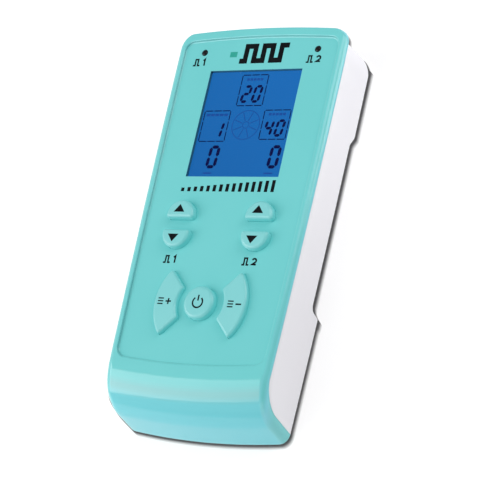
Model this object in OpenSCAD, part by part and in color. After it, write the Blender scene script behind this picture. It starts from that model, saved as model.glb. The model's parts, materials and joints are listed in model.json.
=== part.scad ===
// Hand-held two-channel nerve stimulator (TENS unit), lying on its back.
// X across the unit, Y from the bottom end to the top end, Z from the back to the front face.
// Origin at the middle of the length and width, on the lowest plane of the back.
// Names ending in _r are radii; _x, _y and _z are places along an axis.

/* [Body] */
// Overall length, bottom end to top end
body_length = 140.4; // [140:0.1:141]
// Width across the top end
width_top = 67; // [66:0.5:68]
// Width half way along the sides
width_mid = 65.3; // [65:0.1:66.4]
// Width across the bottom end
width_bottom = 61.6; // [61:0.1:63]
// Depth from the front rim to the lowest plane of the back
body_depth = 21.2; // [21:0.1:21.5]
// Plan radius of the slightly bowed top end
top_bow_r = 340; // [300:10:500]
// Plan radius of the bowed bottom end
bottom_bow_r = 240; // [220:10:400]
// Plan corner radius at the top end
top_corner_r = 6.2; // [5.6:0.2:6.8]
// Plan corner radius of the rear shell's top end, under the overhanging front shell
rear_corner_r = 12; // [11.5:0.1:12.2]
// Plan corner radius at the bottom end
bottom_corner_r = 3.4; // [3.2:0.1:3.6]
// Fillet round the front rim
edge_r = 3; // [2.8:0.1:3]
// Radius of the nose where the front turns down the bottom end
nose_r = 14.4; // [14:0.1:14.8]
// Slope of the end face from upright, in degrees
end_draft = 12; // [11:0.5:13]
// Wall thickness of both shells
wall = 1.8; // [1.7:0.05:1.9]

/* [Front shell] */
// Height of the front shell's side strip above the joint line
rim_height = 1.5; // [1.4:0.1:1.6]
// How far the sunken panel lies below the rim
recess = 0.8; // [0.6:0.1:0.9]
// Width of the rim round the sunken panel
rim_width = 3.2; // [3.2:0.1:3.6]
// Thickness of the panel
panel_thick = 1.6; // [1.5:0.05:1.65]

/* [Back profile] */
// Depth of the top part of the back, from the rim
top_depth = 18; // [17.8:0.1:18.1]
// Depth of the hand-hold in the middle of the back, from the rim
grip_depth = 16; // [15.8:0.1:16.1]
// Where the hand-hold starts, near the top
grip_top_y = 35; // [34:0.5:36]
// Where the battery part of the back starts
step_y = -26.1; // [-26.3:0.1:-26]

/* [Display] */
// Width of the visible display
lcd_width = 36; // [35:0.5:37]
// Height of the visible display
lcd_height = 39.2; // [38:0.2:40]
// Centre of the display along Y
lcd_y = 34.92; // [34.5:0.1:35.2]

/* [Keys] */
// How far the program key tops stand above the panel
key_raise = 1.8; // [1.6:0.1:2]
// How far the intensity and power key tops stand above the panel
high_key_raise = 2.6; // [2.4:0.1:2.7]
// Key travel
key_travel = 0.8; // [0.6:0.1:0.8]
// Running gap between a key and its opening
key_gap = 0.2; // [0.15:0.05:0.25]
// Distance of the intensity keys from the centre line
intensity_x = 15.2; // [14.8:0.1:15.6]
// Middle of the gap between the up and down keys
intensity_y = -2.45; // [-2.6:0.05:-2.3]
// Half the gap between the up and down keys
intensity_half_gap = 2; // [1.9:0.05:2.1]
// Radius of the curved side of an intensity key
intensity_r = 5.2; // [5.1:0.05:5.25]
// Centre of the power key along Y
power_y = -29.64; // [-30:0.1:-29.3]
// Radius of the power key
power_r = 5.7; // [5.5:0.1:5.8]
// Inner radius of the program keys
program_inner_r = 8.9; // [8.7:0.1:9.2]
// Outer radius of the program keys
program_outer_r = 17.5; // [17.3:0.1:17.7]

/* [Sockets] */
// Spacing of the sockets along the top end
socket_pitch = 11; // [10.5:0.5:11.5]
// Bore radius of an output socket
output_bore_r = 1.25; // [1.2:0.05:1.3]
// Bore radius of the charger socket
charger_bore_r = 1.75; // [1.7:0.05:1.8]

/* [Power] */
// Cell radius
cell_r = 5.25; // [5.2:0.05:5.25]
// Cell length without its button end
cell_length = 43.5; // [43:0.1:43.5]
// Spacing of the cells
cell_pitch = 10.9; // [10.8:0.05:10.9]

/* [Build] */

/* [Hidden] */

$fn = 64;
sides = [-1, 1];

// Levels of the shells
panel_z = body_depth - recess;
panel_back_z = panel_z - panel_thick;
joint_z = body_depth - rim_height;
top_back_z = body_depth - top_depth;
grip_z = body_depth - grip_depth;

// Bottom end, and the hood of the front shell that turns down over it
end_y = -body_length / 2;
nose_y = end_y + (body_depth - nose_r * (1 - sin(end_draft))) * tan(end_draft)
  + nose_r * cos(end_draft);
hood_r = nose_r - 3.1;
hood_y = nose_y + 2.2;
grip_ramp = 1.6; // half the length of the slope at the top of the hand-hold

// Boards
board_z = 9;
board_thick = 1.6;
board_front_z = board_z + board_thick;
key_board_z = 14.6;
key_board_thick = 1.2;
key_board_front_z = key_board_z + key_board_thick;

// Battery bay and door
bay_top_z = 12.9;
bay_bottom_y = -62.4;
bay_top_y = -28.4;
bay_half_width = 27;
bay_wall = 1.3;
cell_z = 1.95 + cell_r;
cell_y = (bay_bottom_y + bay_top_y) / 2;
door_thick = 1.6;
door_gap = 0.15;
door_half_width = 27.45;
door_end_y = -63.45;
tongue_width = 1;
tongue_z = 0.8;

// Case screws, one pair in each place: [y, level of the back there]
case_screw_x = 27.2;
case_screw_low_y = -18.5;
case_screw_places = [[55.5, top_back_z], [case_screw_low_y, grip_z]];
screw_seat = 3.2; // head seat above the back
boss_joint_z = 12;

// Board posts, in pairs: [y, level the post rises from, pilot depth, pilot length, screw length]
main_post_x = 25.5;
main_posts = [[47, top_back_z, 3, 4, 4], [-6, grip_z, 1.8, 3, 3.2]];
key_post_x = 20;
key_posts = [[-13.8, grip_z, 3, 4, 4], [-47.5, bay_top_z, 1.5, 4, 2.6]];

// Parts shared between a shell and what it holds
socket_z = board_front_z + 3.2;
led_x = 22.28;
led_y = 61.59;
lead_x = 24.6;
lead_y = -30.7;

// Keys
key_top_z = panel_z + key_raise;
high_key_top_z = panel_z + high_key_raise;
key_flange = 0.7;
flange_z = panel_back_z - 0.9;
key_step_low = 0.2; // insets of the two steps round a key top
key_step_high = 0.6;
intensity_straight = 1.25; // from the flat side to the start of the curved side
intensity_foot_y = 1.2;
program_foot_x = 12.6;
program_end_angle = 46.8;
program_end_x = 2.6; // where the lines of the two ends meet

teal = [0.46, 0.80, 0.80];
white = [0.93, 0.93, 0.95];
board_green = [0.1, 0.42, 0.22];
metal = [0.8, 0.8, 0.82];
steel = [0.75, 0.76, 0.78];
chip_black = [0.1, 0.1, 0.11];
plastic_black = [0.12, 0.12, 0.13];

// ---- body form ----

// Half width of the body at y: a parabola through the three widths.
function half_width(y) = width_mid / 2
  + (width_top - width_bottom) / 4 * (2 * y / body_length)
  + ((width_top + width_bottom) / 4 - width_mid / 2) * pow(2 * y / body_length, 2);

// Side and top end of a right half outline, from start_y to the top centre.
function upper_half(inset, end_inset, start_y, corner_r) =
  let (corner_x = half_width(body_length / 2 - corner_r) - inset - corner_r,
       bow_angle = atan(corner_x / top_bow_r),
       bow_x = corner_x + corner_r * sin(bow_angle),
       top_y = body_length / 2 - end_inset,
       corner_y = top_y - pow(bow_x, 2) / (2 * top_bow_r) - corner_r * cos(bow_angle))
  concat(
    [for (k = [0 : 7]) let (y = start_y + (corner_y - start_y) * k / 8)
      [half_width(y) - inset, y]],
    [for (k = [0 : 4]) let (a = (90 - bow_angle) * k / 5)
      [corner_x + corner_r * cos(a), corner_y + corner_r * sin(a)]],
    [for (k = [0 : 4]) let (x = bow_x * (1 - k / 4)) [x, top_y - x * x / (2 * top_bow_r)]]);

function both_halves(half) =
  concat(half, [for (k = [len(half) - 2 : -1 : 1]) [-half[k][0], half[k][1]]]);

// Whole plan outline, with its bottom end at bottom_y.
function outline(inset, bottom_y, bottom_inset = 0, bottom_r = bottom_corner_r,
    top_r = top_corner_r) =
  let (corner_x = half_width(bottom_y + bottom_r) - inset - bottom_r,
       bow_angle = atan(corner_x / bottom_bow_r),
       bow_x = corner_x + bottom_r * sin(bow_angle),
       low_y = bottom_y + bottom_inset,
       corner_y = low_y + pow(bow_x, 2) / (2 * bottom_bow_r) + bottom_r * cos(bow_angle))
  both_halves(concat(
    [for (k = [0 : 4]) let (x = bow_x * k / 5) [x, low_y + x * x / (2 * bottom_bow_r)]],
    [for (k = [0 : 3]) let (a = -90 + bow_angle + (90 - bow_angle) * k / 4)
      [corner_x + bottom_r * cos(a), corner_y + bottom_r * sin(a)]],
    upper_half(inset, inset, corner_y, top_r)));

// Outline set in from the rear shell, keeping its top corners concentric.
function inner_outline(inset, bottom_y) =
  outline(inset, bottom_y, top_r = rear_corner_r - inset);

// Y where a nose of the given radius lies at a depth below the rim.
function nose_at(radius, depth) =
  nose_y - sqrt(max(pow(radius, 2) - pow(nose_r - depth, 2), 0));

// Point of the side fillet on the nose, a degrees round the fillet.
function nose_edge(depth, a) =
  let (y = nose_at(nose_r - edge_r * (1 - cos(a)), depth),
       x = half_width(y) - edge_r * (1 - sin(a)))
  [x, y + x * x / (2 * bottom_bow_r)];

// Outline at a depth below the rim, with the side fillet running on round the nose.
// A small extra step in Y keeps the fillet's points apart.
function nose_outline(depth, top_r) =
  let (turn = acos(1 - min(depth, edge_r) / edge_r),
       inset = edge_r * (1 - sin(turn)),
       spread = 0.3 * (1 - turn / 90),
       bottom_y = nose_at(nose_r, depth),
       end_x = half_width(bottom_y) - edge_r)
  both_halves(concat(
    [for (k = [0 : 4]) let (x = end_x * k / 5) [x, bottom_y + x * x / (2 * bottom_bow_r)]],
    [for (k = [0 : 3]) let (p = nose_edge(depth, turn * k / 4)) [p[0], p[1] + k * spread]],
    upper_half(inset, 0.4 * inset, nose_edge(depth, turn)[1] + 4 * spread, top_r - inset)));

// Solid between plan outlines, each given as [z, points].
module loft(levels) {
  n = len(levels[0][1]);
  last = len(levels) - 1;
  polyhedron(
    points = [for (level = levels) for (p = level[1]) [p[0], p[1], level[0]]],
    faces = concat(
      [[for (k = [0 : n - 1]) k]],
      [[for (k = [n - 1 : -1 : 0]) last * n + k]],
      [for (j = [0 : last - 1]) for (k = [0 : n - 1])
        [j * n + k, (j + 1) * n + k, (j + 1) * n + (k + 1) % n]],
      [for (j = [0 : last - 1]) for (k = [0 : n - 1])
        [j * n + k, (j + 1) * n + (k + 1) % n, j * n + (k + 1) % n]]));
}

// Whole outside of the unit: filleted rim, rounded nose, sloping end face.
module body(top_r = top_corner_r) {
  back_edge = [[0, 0.8], [0.11, 0.4], [0.4, 0.11], [0.8, 0]]; // [z, inset]
  nose_arc = 90 - end_draft;
  loft(concat(
    [for (e = back_edge)
      [e[0], outline(e[1], end_y + e[0] * tan(end_draft), 0.3 * e[1], top_r = top_r)]],
    [for (a = [nose_arc : -nose_arc / 12 : -0.01])
      let (depth = nose_r * (1 - cos(max(a, 0))))
      [body_depth - depth, nose_outline(depth, top_r)]]));
}

// Upright slab across the width from a side-view polygon of [y, z] points.
module across(points, half = 50) {
  translate([-half, 0, 0]) rotate([90, 0, 90]) linear_extrude(2 * half) polygon(points);
}

// Line where the hood meets the rear shell, from the back up to the joint, pulled back by gap.
function hood_line(gap) =
  let (r = hood_r - gap)
  concat(
    [[hood_y - r * cos(end_draft)
      - (joint_z - hood_r + hood_r * sin(end_draft) + 2) * tan(end_draft), -2]],
    [for (a = [78 : -13 : 0]) [hood_y - r * sin(a), joint_z - hood_r + r * cos(a)]]);

module box(corner, size) translate(corner) cube(size);

module rounded_rect(width, height, r) {
  union() {
    square([width - 2 * r, height], center = true);
    square([width, height - 2 * r], center = true);
    for (side = sides) for (end = sides)
      translate([side * (width / 2 - r), end * (height / 2 - r)]) circle(r, $fn = 24);
  }
}

// ---- keys ----

// Intensity key in plan, curved side towards +Y.
module intensity_outline(inset) {
  r = intensity_r - inset;
  corner = 0.8;
  straight = intensity_straight - inset;
  union() {
    intersection() {
      circle(r);
      translate([-10, 0]) square([20, 10]);
    }
    translate([-r, -straight + corner]) square([2 * r, straight - corner + 0.01]);
    translate([-r + corner, -straight]) square([2 * (r - corner), straight + 0.01]);
    for (side = sides)
      translate([side * (r - corner), -straight + corner]) circle(corner, $fn = 32);
  }
}

// Program key in plan: a ring sector about the power key, on the +X side.
module program_outline(inset) {
  start_x = program_end_x + inset / sin(program_end_angle);
  reach_x = 30 * cos(program_end_angle);
  reach_y = 30 * sin(program_end_angle);
  intersection() {
    difference() {
      circle(program_outer_r - inset, $fn = 96);
      circle(program_inner_r + inset);
    }
    polygon([[start_x, 0], [start_x + reach_x, -reach_y], [start_x + reach_x, reach_y]]);
  }
}

// Key with a stepped top edge and a retaining flange.
// Children: full outline, lower step, upper step, flange.
module key_stack(top) {
  translate([0, 0, panel_back_z - 0.1])
    linear_extrude(top - 0.8 - panel_back_z + 0.1) children(0);
  translate([0, 0, top - 0.81]) linear_extrude(0.46) children(1);
  translate([0, 0, top - 0.36]) linear_extrude(0.36) children(2);
  translate([0, 0, flange_z]) linear_extrude(0.8) children(3);
}

// Foot that ends one key travel above its snap dome.
module key_foot(x, y) {
  translate([x, y, key_board_front_z + 0.35 + key_travel]) cylinder(r = 1.6, h = 1);
}

// up is 1 for an up key and -1 for a down key.
function intensity_key_y(up) = intensity_y + up * (intensity_half_gap + intensity_straight);

module at_intensity_key(side, up) {
  translate([side * intensity_x, intensity_key_y(up), 0])
    rotate([0, 0, up > 0 ? 0 : 180]) children();
}

module at_program_key(side) {
  translate([0, power_y, 0]) rotate([0, 0, side > 0 ? 0 : 180]) children();
}

module intensity_key(side, up) at_intensity_key(side, up) {
  key_stack(high_key_top_z) {
    intensity_outline(0);
    intensity_outline(key_step_low);
    intensity_outline(key_step_high);
    intensity_outline(-key_flange);
  }
  key_foot(0, intensity_foot_y);
}

module program_key(side) at_program_key(side) {
  key_stack(key_top_z) {
    program_outline(0);
    program_outline(key_step_low);
    program_outline(key_step_high);
    program_outline(-key_flange);
  }
  key_foot(program_foot_x, 0);
}

module key_up_left() color(teal) intensity_key(-1, 1);
module key_down_left() color(teal) intensity_key(-1, -1);
module key_up_right() color(teal) intensity_key(1, 1);
module key_down_right() color(teal) intensity_key(1, -1);
module key_program_left() color(teal) program_key(-1);
module key_program_right() color(teal) program_key(1);

module key_power() color(teal) {
  round_r = 1;
  flange_r = power_r + key_flange;
  translate([0, power_y, 0]) {
    rotate_extrude() polygon(concat(
      [[0, flange_z], [flange_r, flange_z],
       [flange_r, panel_back_z - 0.1], [power_r, panel_back_z - 0.1]],
      [for (a = [0 : 15 : 90])
        [power_r - round_r + round_r * cos(a), high_key_top_z - round_r + round_r * sin(a)]],
      [[0, high_key_top_z]]));
    key_foot(0, 0);
  }
}

// Snap domes on the key board, one under each key foot.
module snap_domes() color(metal) {
  places = concat(
    [for (side = sides) for (up = sides)
      [side * intensity_x, intensity_key_y(up) + up * intensity_foot_y]],
    [for (k = [-1 : 1]) [k * program_foot_x, power_y]]);
  for (p = places)
    translate([p[0], p[1], key_board_front_z]) rotate_extrude()
      polygon([[0, 0], [2.6, 0], [2.6, 0.1], [1.8, 0.22], [1, 0.28], [0, 0.3]]);
}

// ---- front shell ----

module front_outside() intersection() {
  body();
  across(concat([[80, joint_z], [80, 30], [-80, 30], [-80, -2]], hood_line(0)));
}

// Low lip under the panel, just inside the rear shell, broken at the lower screw bosses.
module locating_lip() difference() {
  translate([0, 0, panel_back_z - 0.8]) linear_extrude(1)
    polygon(inner_outline(wall + 0.1, nose_y + 5));
  translate([0, 0, panel_back_z - 1]) linear_extrude(1.1)
    polygon(inner_outline(wall + 0.9, nose_y + 5.8));
  box([-40, case_screw_low_y - 4, 0], [80, 8, 30]);
}

module hood_space() {
  r = nose_r - wall;
  intersection() {
    translate([0, 0, wall]) linear_extrude(panel_back_z - wall - 0.1)
      polygon(outline(wall, end_y + 2));
    across(concat(
      [[nose_y + 2, -3], [nose_y + 2, panel_back_z - 0.1]],
      [for (a = [20 : 10 : 70])
        [nose_y - r * sin(a), body_depth - nose_r + r * cos(a) - 0.6]],
      [[nose_y - r * cos(end_draft), body_depth - nose_r + 1.8],
       [end_y + wall + 0.2, 0], [end_y + wall - 0.4, -3]]));
  }
}

// Openings through the panel for the display, the lights and the keys.
module panel_openings() {
  cut = 5;
  translate([0, 0, panel_back_z - 1]) {
    translate([0, lcd_y, 0]) linear_extrude(cut) square([lcd_width, lcd_height], center = true);
    translate([0, power_y, 0]) cylinder(r = power_r + key_gap, h = cut);
    for (side = sides) {
      translate([side * led_x, led_y, 0]) cylinder(r = 1.2, h = cut, $fn = 32);
      for (up = sides)
        at_intensity_key(side, up) linear_extrude(cut) intensity_outline(-key_gap);
      at_program_key(side) linear_extrude(cut) program_outline(-key_gap);
    }
  }
}

module at_case_screws(z) {
  for (side = sides) for (place = case_screw_places)
    translate([side * case_screw_x, place[0], z]) children();
}

module front_shell() color(teal) difference() {
  union() {
    front_outside();
    translate([0, 0, panel_back_z]) linear_extrude(joint_z - panel_back_z + 0.2)
      polygon(inner_outline(wall + 0.1, nose_y + 3));
    locating_lip();
    at_case_screws(boss_joint_z + 0.1) cylinder(r = 2.8, h = panel_back_z - boss_joint_z);
  }
  hood_space();
  // sunken panel
  loft([[panel_z, outline(rim_width + 0.6, nose_y + 3.5 + 0.6, 0, 3.2, 3.2)],
        [body_depth + 0.01, outline(rim_width, nose_y + 3.5, 0, 3.6, 3.6)]]);
  panel_openings();
  at_case_screws(boss_joint_z) cylinder(r = 1.27, h = 5.4, $fn = 32);
}

// ---- rear shell ----

module rear_outside() intersection() {
  body(rear_corner_r);
  across(concat(
    [[80, joint_z - 0.05], [80, top_back_z], [grip_top_y + grip_ramp, top_back_z],
     [grip_top_y - grip_ramp, grip_z], [step_y + 2.6, grip_z], [step_y + 0.8, grip_z - 1.1],
     [step_y, 0], [step_y - 2, -2]],
    hood_line(0.05)));
}

module electronics_space() {
  bay_end_y = bay_top_y + bay_wall;
  intersection() {
    translate([0, 0, -1]) linear_extrude(30) polygon(inner_outline(wall, end_y + 2));
    union() {
      across([[80, 30], [80, top_back_z + wall], [grip_top_y + grip_ramp + 1, top_back_z + wall],
        [grip_top_y - 1, grip_z + wall], [bay_end_y, grip_z + wall], [bay_end_y, 30]]);
      box([-50, nose_y - 4, bay_top_z + bay_wall], [100, 60, 20]);
    }
  }
}

// Pairs of posts that hold a board at height top.
module board_posts(posts, post_x, r, top) {
  for (side = sides) for (p = posts)
    translate([side * post_x, p[0], p[1] + 0.5]) cylinder(r = r, h = top - p[1] - 0.5);
}

module post_pilots(posts, post_x, top) {
  for (side = sides) for (p = posts)
    translate([side * post_x, p[0], top - p[2]]) cylinder(r = 1.02, h = p[3], $fn = 32);
}

// Bay for three cells; a block is left standing behind each button-end contact.
module battery_bay() difference() {
  box([-bay_half_width, bay_bottom_y, -1],
    [2 * bay_half_width, bay_top_y - bay_bottom_y, bay_top_z + 1]);
  for (k = [-1 : 1])
    box([spring_side(k) < 0 ? 22.9 : -30, cell_y + k * cell_pitch - 3.4, 3.4], [7.1, 6.8, 8]);
}

// Seat for the door, with a groove along each side for its tongues.
module door_seat() {
  seat_half = door_half_width + door_gap;
  groove_half = seat_half + tongue_width;
  seat_y = door_end_y - door_gap;
  seat_top_z = door_thick + door_gap;
  groove_z = tongue_z - door_gap;
  box([-seat_half, seat_y, -1], [2 * seat_half, 60, 1 + seat_top_z]);
  box([-groove_half, seat_y, groove_z], [2 * groove_half, 60, seat_top_z - groove_z]);
}

module rear_shell() color(white) difference() {
  union() {
    difference() {
      rear_outside();
      electronics_space();
    }
    board_posts(case_screw_places, case_screw_x, r = 3.4, top = boss_joint_z);
    board_posts(main_posts, main_post_x, r = 2.4, top = board_z);
    board_posts(key_posts, key_post_x, r = 2.2, top = key_board_z);
  }
  battery_bay();
  door_seat();
  // lead slots through the bay roof
  for (side = sides)
    box([side * lead_x - 1.2, lead_y - 0.5, bay_top_z - 0.5], [2.4, 1, 3]);
  // holes for the socket barrels
  for (k = [-1 : 1])
    translate([k * socket_pitch, 60, socket_z]) rotate([-90, 0, 0]) cylinder(r = 3.15, h = 15);
  // case screws: head wells, then shank holes
  for (side = sides) for (place = case_screw_places)
    translate([side * case_screw_x, place[0], -1])
      cylinder(r = 2.7, h = place[1] + screw_seat + 1);
  at_case_screws(0) cylinder(r = 1.45, h = 15, $fn = 32);
  post_pilots(main_posts, main_post_x, board_z);
  post_pilots(key_posts, key_post_x, key_board_z);
}

// Sliding door of the battery bay, with side tongues and a ribbed thumb pad.
module battery_door() color(white) difference() {
  union() {
    across([[door_end_y, 0], [step_y, 0], [step_y + 0.3, door_thick],
      [door_end_y, door_thick]], door_half_width);
    across([[door_end_y, tongue_z], [step_y + 0.15, tongue_z], [step_y + 0.3, door_thick],
      [door_end_y, door_thick]], door_half_width + tongue_width);
  }
  difference() {
    translate([0, -34, -1]) cylinder(r = 7, h = 1.5);
    for (k = [-2 : 2]) box([-7, -34.4 + k * 2.4, -0.01], [14, 0.8, 0.6]);
  }
}

// ---- display ----

backlight_z = 12.4;
backlight_thick = 3.15;
lower_glass_z = 15.6;

module display_window() color([0.75, 0.85, 0.95, 0.4])
  box([-lcd_width / 2 + 0.1, lcd_y - lcd_height / 2 + 0.1, panel_z - 0.9],
    [lcd_width - 0.2, lcd_height - 0.2, 0.8]);

// Display cell: a small upper glass in the opening over a larger lower glass.
module lcd_glass() color([0.13, 0.42, 0.72]) translate([0, lcd_y, 0]) union() {
  upper_z = lower_glass_z + 1.5;
  box([-20, -22, lower_glass_z], [40, 44, 1.6]);
  box([-lcd_width / 2 + 0.15, -lcd_height / 2 + 0.15, upper_z],
    [lcd_width - 0.3, lcd_height - 0.3, panel_z - 1.1 - upper_z]);
}

module lcd_backlight() color([0.95, 0.95, 0.9])
  box([-19.5, lcd_y - 18.5, backlight_z], [39, 40, backlight_thick]);

// Frame on the main board, pocketed for the glass and slotted for the connector.
module lcd_frame() color([0.16, 0.17, 0.2]) difference() {
  box([-21.3, lcd_y - 23.2, board_front_z], [42.6, 46.4, 6.4]);
  box([-20.15, lcd_y - 22.1, 12.3], [40.3, 44.2, 10]);
  box([-19.3, lcd_y - 21.6, 9], [38.6, 2.2, 5]);
}

module lcd_connector() color([0.25, 0.25, 0.28])
  box([-19, lcd_y - 21.3, board_front_z],
    [38, 1.6, backlight_z + backlight_thick - board_front_z]);

// ---- boards and screws ----

module board_holes(posts, post_x, r) {
  for (side = sides) for (p = posts)
    translate([side * post_x, p[0], 0]) cylinder(r = r, h = 20, $fn = 32);
}

module main_board() color(board_green) difference() {
  union() {
    box([-23, -23.5, board_z], [46, 90, board_thick]);
    box([-28.5, -13.5, board_z], [57, 64.5, board_thick]);
  }
  board_holes(main_posts, main_post_x, r = 1.2);
  // the upper key board posts pass through
  board_holes([key_posts[0]], key_post_x, r = 2.6);
}

module key_board() color(board_green) difference() {
  box([-23, -50.5, key_board_z], [46, 60, key_board_thick]);
  board_holes(key_posts, key_post_x, r = 1.2);
}

// Header joining the two boards.
module board_header() color(plastic_black)
  box([-10, -21, board_front_z], [20, 2.5, key_board_z - board_front_z]);

// Cross-head screw pointing to +Z, with the underside of its head at z = 0.
module screw(head_r, head_h, shank_r, shank_h) {
  difference() {
    union() {
      translate([0, 0, -head_h]) cylinder(r = head_r, h = head_h, $fn = 32);
      translate([0, 0, -0.01]) cylinder(r = shank_r, h = shank_h, $fn = 32);
    }
    for (a = [0, 90]) rotate([0, 0, a])
      box([-head_r * 0.65, -0.3, -head_h - 1], [head_r * 1.3, 0.6, 1.8]);
  }
}

module board_screws(posts, post_x, z) {
  for (side = sides) for (p = posts)
    translate([side * post_x, p[0], z]) mirror([0, 0, 1])
      screw(head_r = 1.9, head_h = 1.2, shank_r = 1, shank_h = p[4]);
}

module case_screws() color(steel) for (side = sides) for (place = case_screw_places) {
  seat_z = place[1] + screw_seat;
  translate([side * case_screw_x, place[0], seat_z])
    screw(head_r = 2.4, head_h = 1.8, shank_r = 1.25, shank_h = 16.9 - seat_z);
}

module main_board_screws() color(steel) board_screws(main_posts, main_post_x, board_front_z);
module key_board_screws() color(steel) board_screws(key_posts, key_post_x, key_board_front_z);

// ---- parts on the main board ----

// Light with a stepped body, domed tip and two legs.
module led(side) color([0.08, 0.08, 0.09]) translate([side * led_x, led_y, 0]) {
  rotate_extrude($fn = 48) polygon([[0, 14], [1.6, 14], [1.6, 15], [1.1, 15],
    [1.1, panel_z - 0.2], [0.95, panel_z + 0.15], [0.6, panel_z + 0.35], [0, panel_z + 0.4]]);
  for (leg = sides)
    box([leg * 0.9 - 0.2, -0.2, board_front_z], [0.4, 0.4, 14.01 - board_front_z]);
}
module led_left() led(-1);
module led_right() led(1);

// Cable socket standing on the board with its barrel through the top wall.
module socket(x, bore_r) color(plastic_black) difference() {
  union() {
    box([x - 4, 58.4, board_front_z], [8, 9, 6.4]);
    translate([x, 67, socket_z]) rotate([-90, 0, 0]) cylinder(r = 3, h = 2.2);
  }
  translate([x, 59.4, socket_z]) rotate([-90, 0, 0]) cylinder(r = bore_r, h = 12, $fn = 48);
}
module output_socket_left() socket(-socket_pitch, output_bore_r);
module output_socket_right() socket(socket_pitch, output_bore_r);
module charger_socket() socket(0, charger_bore_r);

// Two blocks, each with two grooves in its front face.
module pulse_transformers() color([0.2, 0.2, 0.22]) for (side = sides)
  translate([side * 13, 1, board_front_z]) difference() {
    box([-6, -5, 0], [12, 10, 3.6]);
    for (end = sides) box([-4, end * 3.6 - 0.7, 2.2], [8, 1.4, 3]);
  }

// Two cans lying across the board.
module storage_capacitors() color([0.15, 0.2, 0.35]) for (side = sides)
  translate([side * 15 - 4.5, -9, board_front_z + 1.9]) rotate([0, 90, 0]) union() {
    cylinder(r = 1.8, h = 9, $fn = 48);
    translate([0, 0, 9]) cylinder(r = 1.5, h = 0.3, $fn = 48);
  }

// Chips and crystal on the back of the board; each pin strip spans its chip.
pin_width = 0.4;
pin_thick = 0.3;
pin_z = board_z - 0.35;

module processor() color(chip_black) union() {
  box([-13, 43, board_z - 1.5], [10, 10, 1.3]);
  for (k = [0 : 7]) {
    box([-12.3 + k * 1.2, 42, pin_z], [pin_width, 12, pin_thick]);
    box([-14, 43.7 + k * 1.2, pin_z], [12, pin_width, pin_thick]);
  }
}

module output_driver() color(chip_black) union() {
  box([5, 45, board_z - 1.5], [10, 4, 1.4]);
  for (k = [0 : 6]) box([5.7 + k * 1.35, 44, pin_z], [pin_width, 6, pin_thick]);
}

module crystal() color(metal) box([-5, 57, board_z - 2.5], [7, 3.4, 2.45]);

module sounder() color(chip_black) translate([0, -3, board_front_z]) difference() {
  cylinder(r = 4.5, h = 3.4);
  translate([0, 0, 2.4]) cylinder(r = 1, h = 2, $fn = 32);
}

// ---- battery parts ----

// Cells are numbered k = -1, 0, 1 from the bottom end up; the middle one is reversed.
// Side of the bay, -1 left or 1 right, where cell k meets its spring.
function spring_side(k) = k == 0 ? -1 : 1;

// Axis of cell k, with local +Z pointing to the given side.
module along_cell(k, side) {
  translate([0, cell_y + k * cell_pitch, cell_z]) rotate([0, side * 90, 0]) children();
}

module cell(k) color([0.2, 0.5, 0.35]) along_cell(k, -spring_side(k)) union() {
  flat_end = -22.1;
  translate([0, 0, flat_end]) cylinder(r = cell_r, h = cell_length);
  translate([0, 0, flat_end + cell_length]) cylinder(r = 1.9, h = 0.9, $fn = 32);
}
module cell_upper() cell(1);
module cell_middle() cell(0);
module cell_lower() cell(-1);

// Each spring is five widening rings joined by short posts.
module cell_springs() color(metal) for (k = [-1 : 1]) along_cell(k, spring_side(k)) union() {
  start = 22.45;
  pitch = 0.9;
  for (j = [0 : 4]) translate([0, 0, start + j * pitch])
    rotate_extrude($fn = 48) translate([2.2 + 0.25 * j, 0]) circle(0.3, $fn = 16);
  for (j = [0 : 3]) translate([2.2 + 0.25 * j, 0, start + j * pitch])
    cylinder(r = 0.25, h = 0.95, $fn = 16);
}

// A wide plate behind each spring and a narrow one at each button end.
module cell_contacts() color(metal) for (k = [-1 : 1]) {
  side = spring_side(k);
  y = cell_y + k * cell_pitch;
  box([side * 26.6 - 0.2, y - 4.4, 3], [0.4, 8.8, 8.5]);
  box([-side * 22.6 - 0.2, y - 3.2, 3.6], [0.4, 6.4, 7.4]);
}

// Two strips across the bay, just under its roof.
module cell_ribbon() color([0.85, 0.6, 0.3]) union() {
  for (y = [-58, -47.5]) box([-18, y, bay_top_z - 0.3], [36, 2.4, 0.15]);
}

lead_r = 0.6;
bend_r = 1;

// Quarter turn of wire.
module wire_bend() rotate_extrude(angle = 90, $fn = 48)
  translate([bend_r, 0]) circle(r = lead_r, $fn = 24);

module wire(length, r = lead_r) cylinder(r = r, h = length, $fn = 24);

// Insulated wire that rises through the bay roof, runs over the bay's end wall and drops
// to the board, in straight runs joined by quarter bends.
module lead(shade) color(shade) union() {
  start_z = bay_top_z - 0.3;
  bend_z = 14.2;
  run = 6.5;
  run_y = lead_y + bend_r;
  drop_y = run_y + run + bend_r;
  end_z = board_front_z + lead_r + 0.02;
  end_length = 2;
  translate([lead_x, lead_y, start_z]) wire(bend_z - start_z, r = 0.4);
  translate([lead_x, run_y, bend_z]) rotate([90, 0, -90]) wire_bend();
  translate([lead_x, run_y, bend_z + bend_r]) rotate([-90, 0, 0]) wire(run);
  translate([lead_x, run_y + run, bend_z]) rotate([90, 0, 90]) wire_bend();
  translate([lead_x, drop_y, end_z + bend_r]) wire(bend_z - end_z - bend_r);
  translate([lead_x - bend_r, drop_y, end_z + bend_r]) rotate([-90, 0, 0]) wire_bend();
  translate([lead_x - bend_r - end_length, drop_y, end_z]) rotate([0, 90, 0]) wire(end_length);
}
module supply_lead_positive() lead([0.75, 0.1, 0.1]);
module supply_lead_negative() mirror([1, 0, 0]) lead([0.1, 0.1, 0.12]);

// Label on the back, in the hand-hold.
module rating_label() color([0.97, 0.97, 0.97]) translate([0, 4, grip_z - 0.15])
  linear_extrude(0.14) rounded_rect(40, 26, 1.5);

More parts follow.
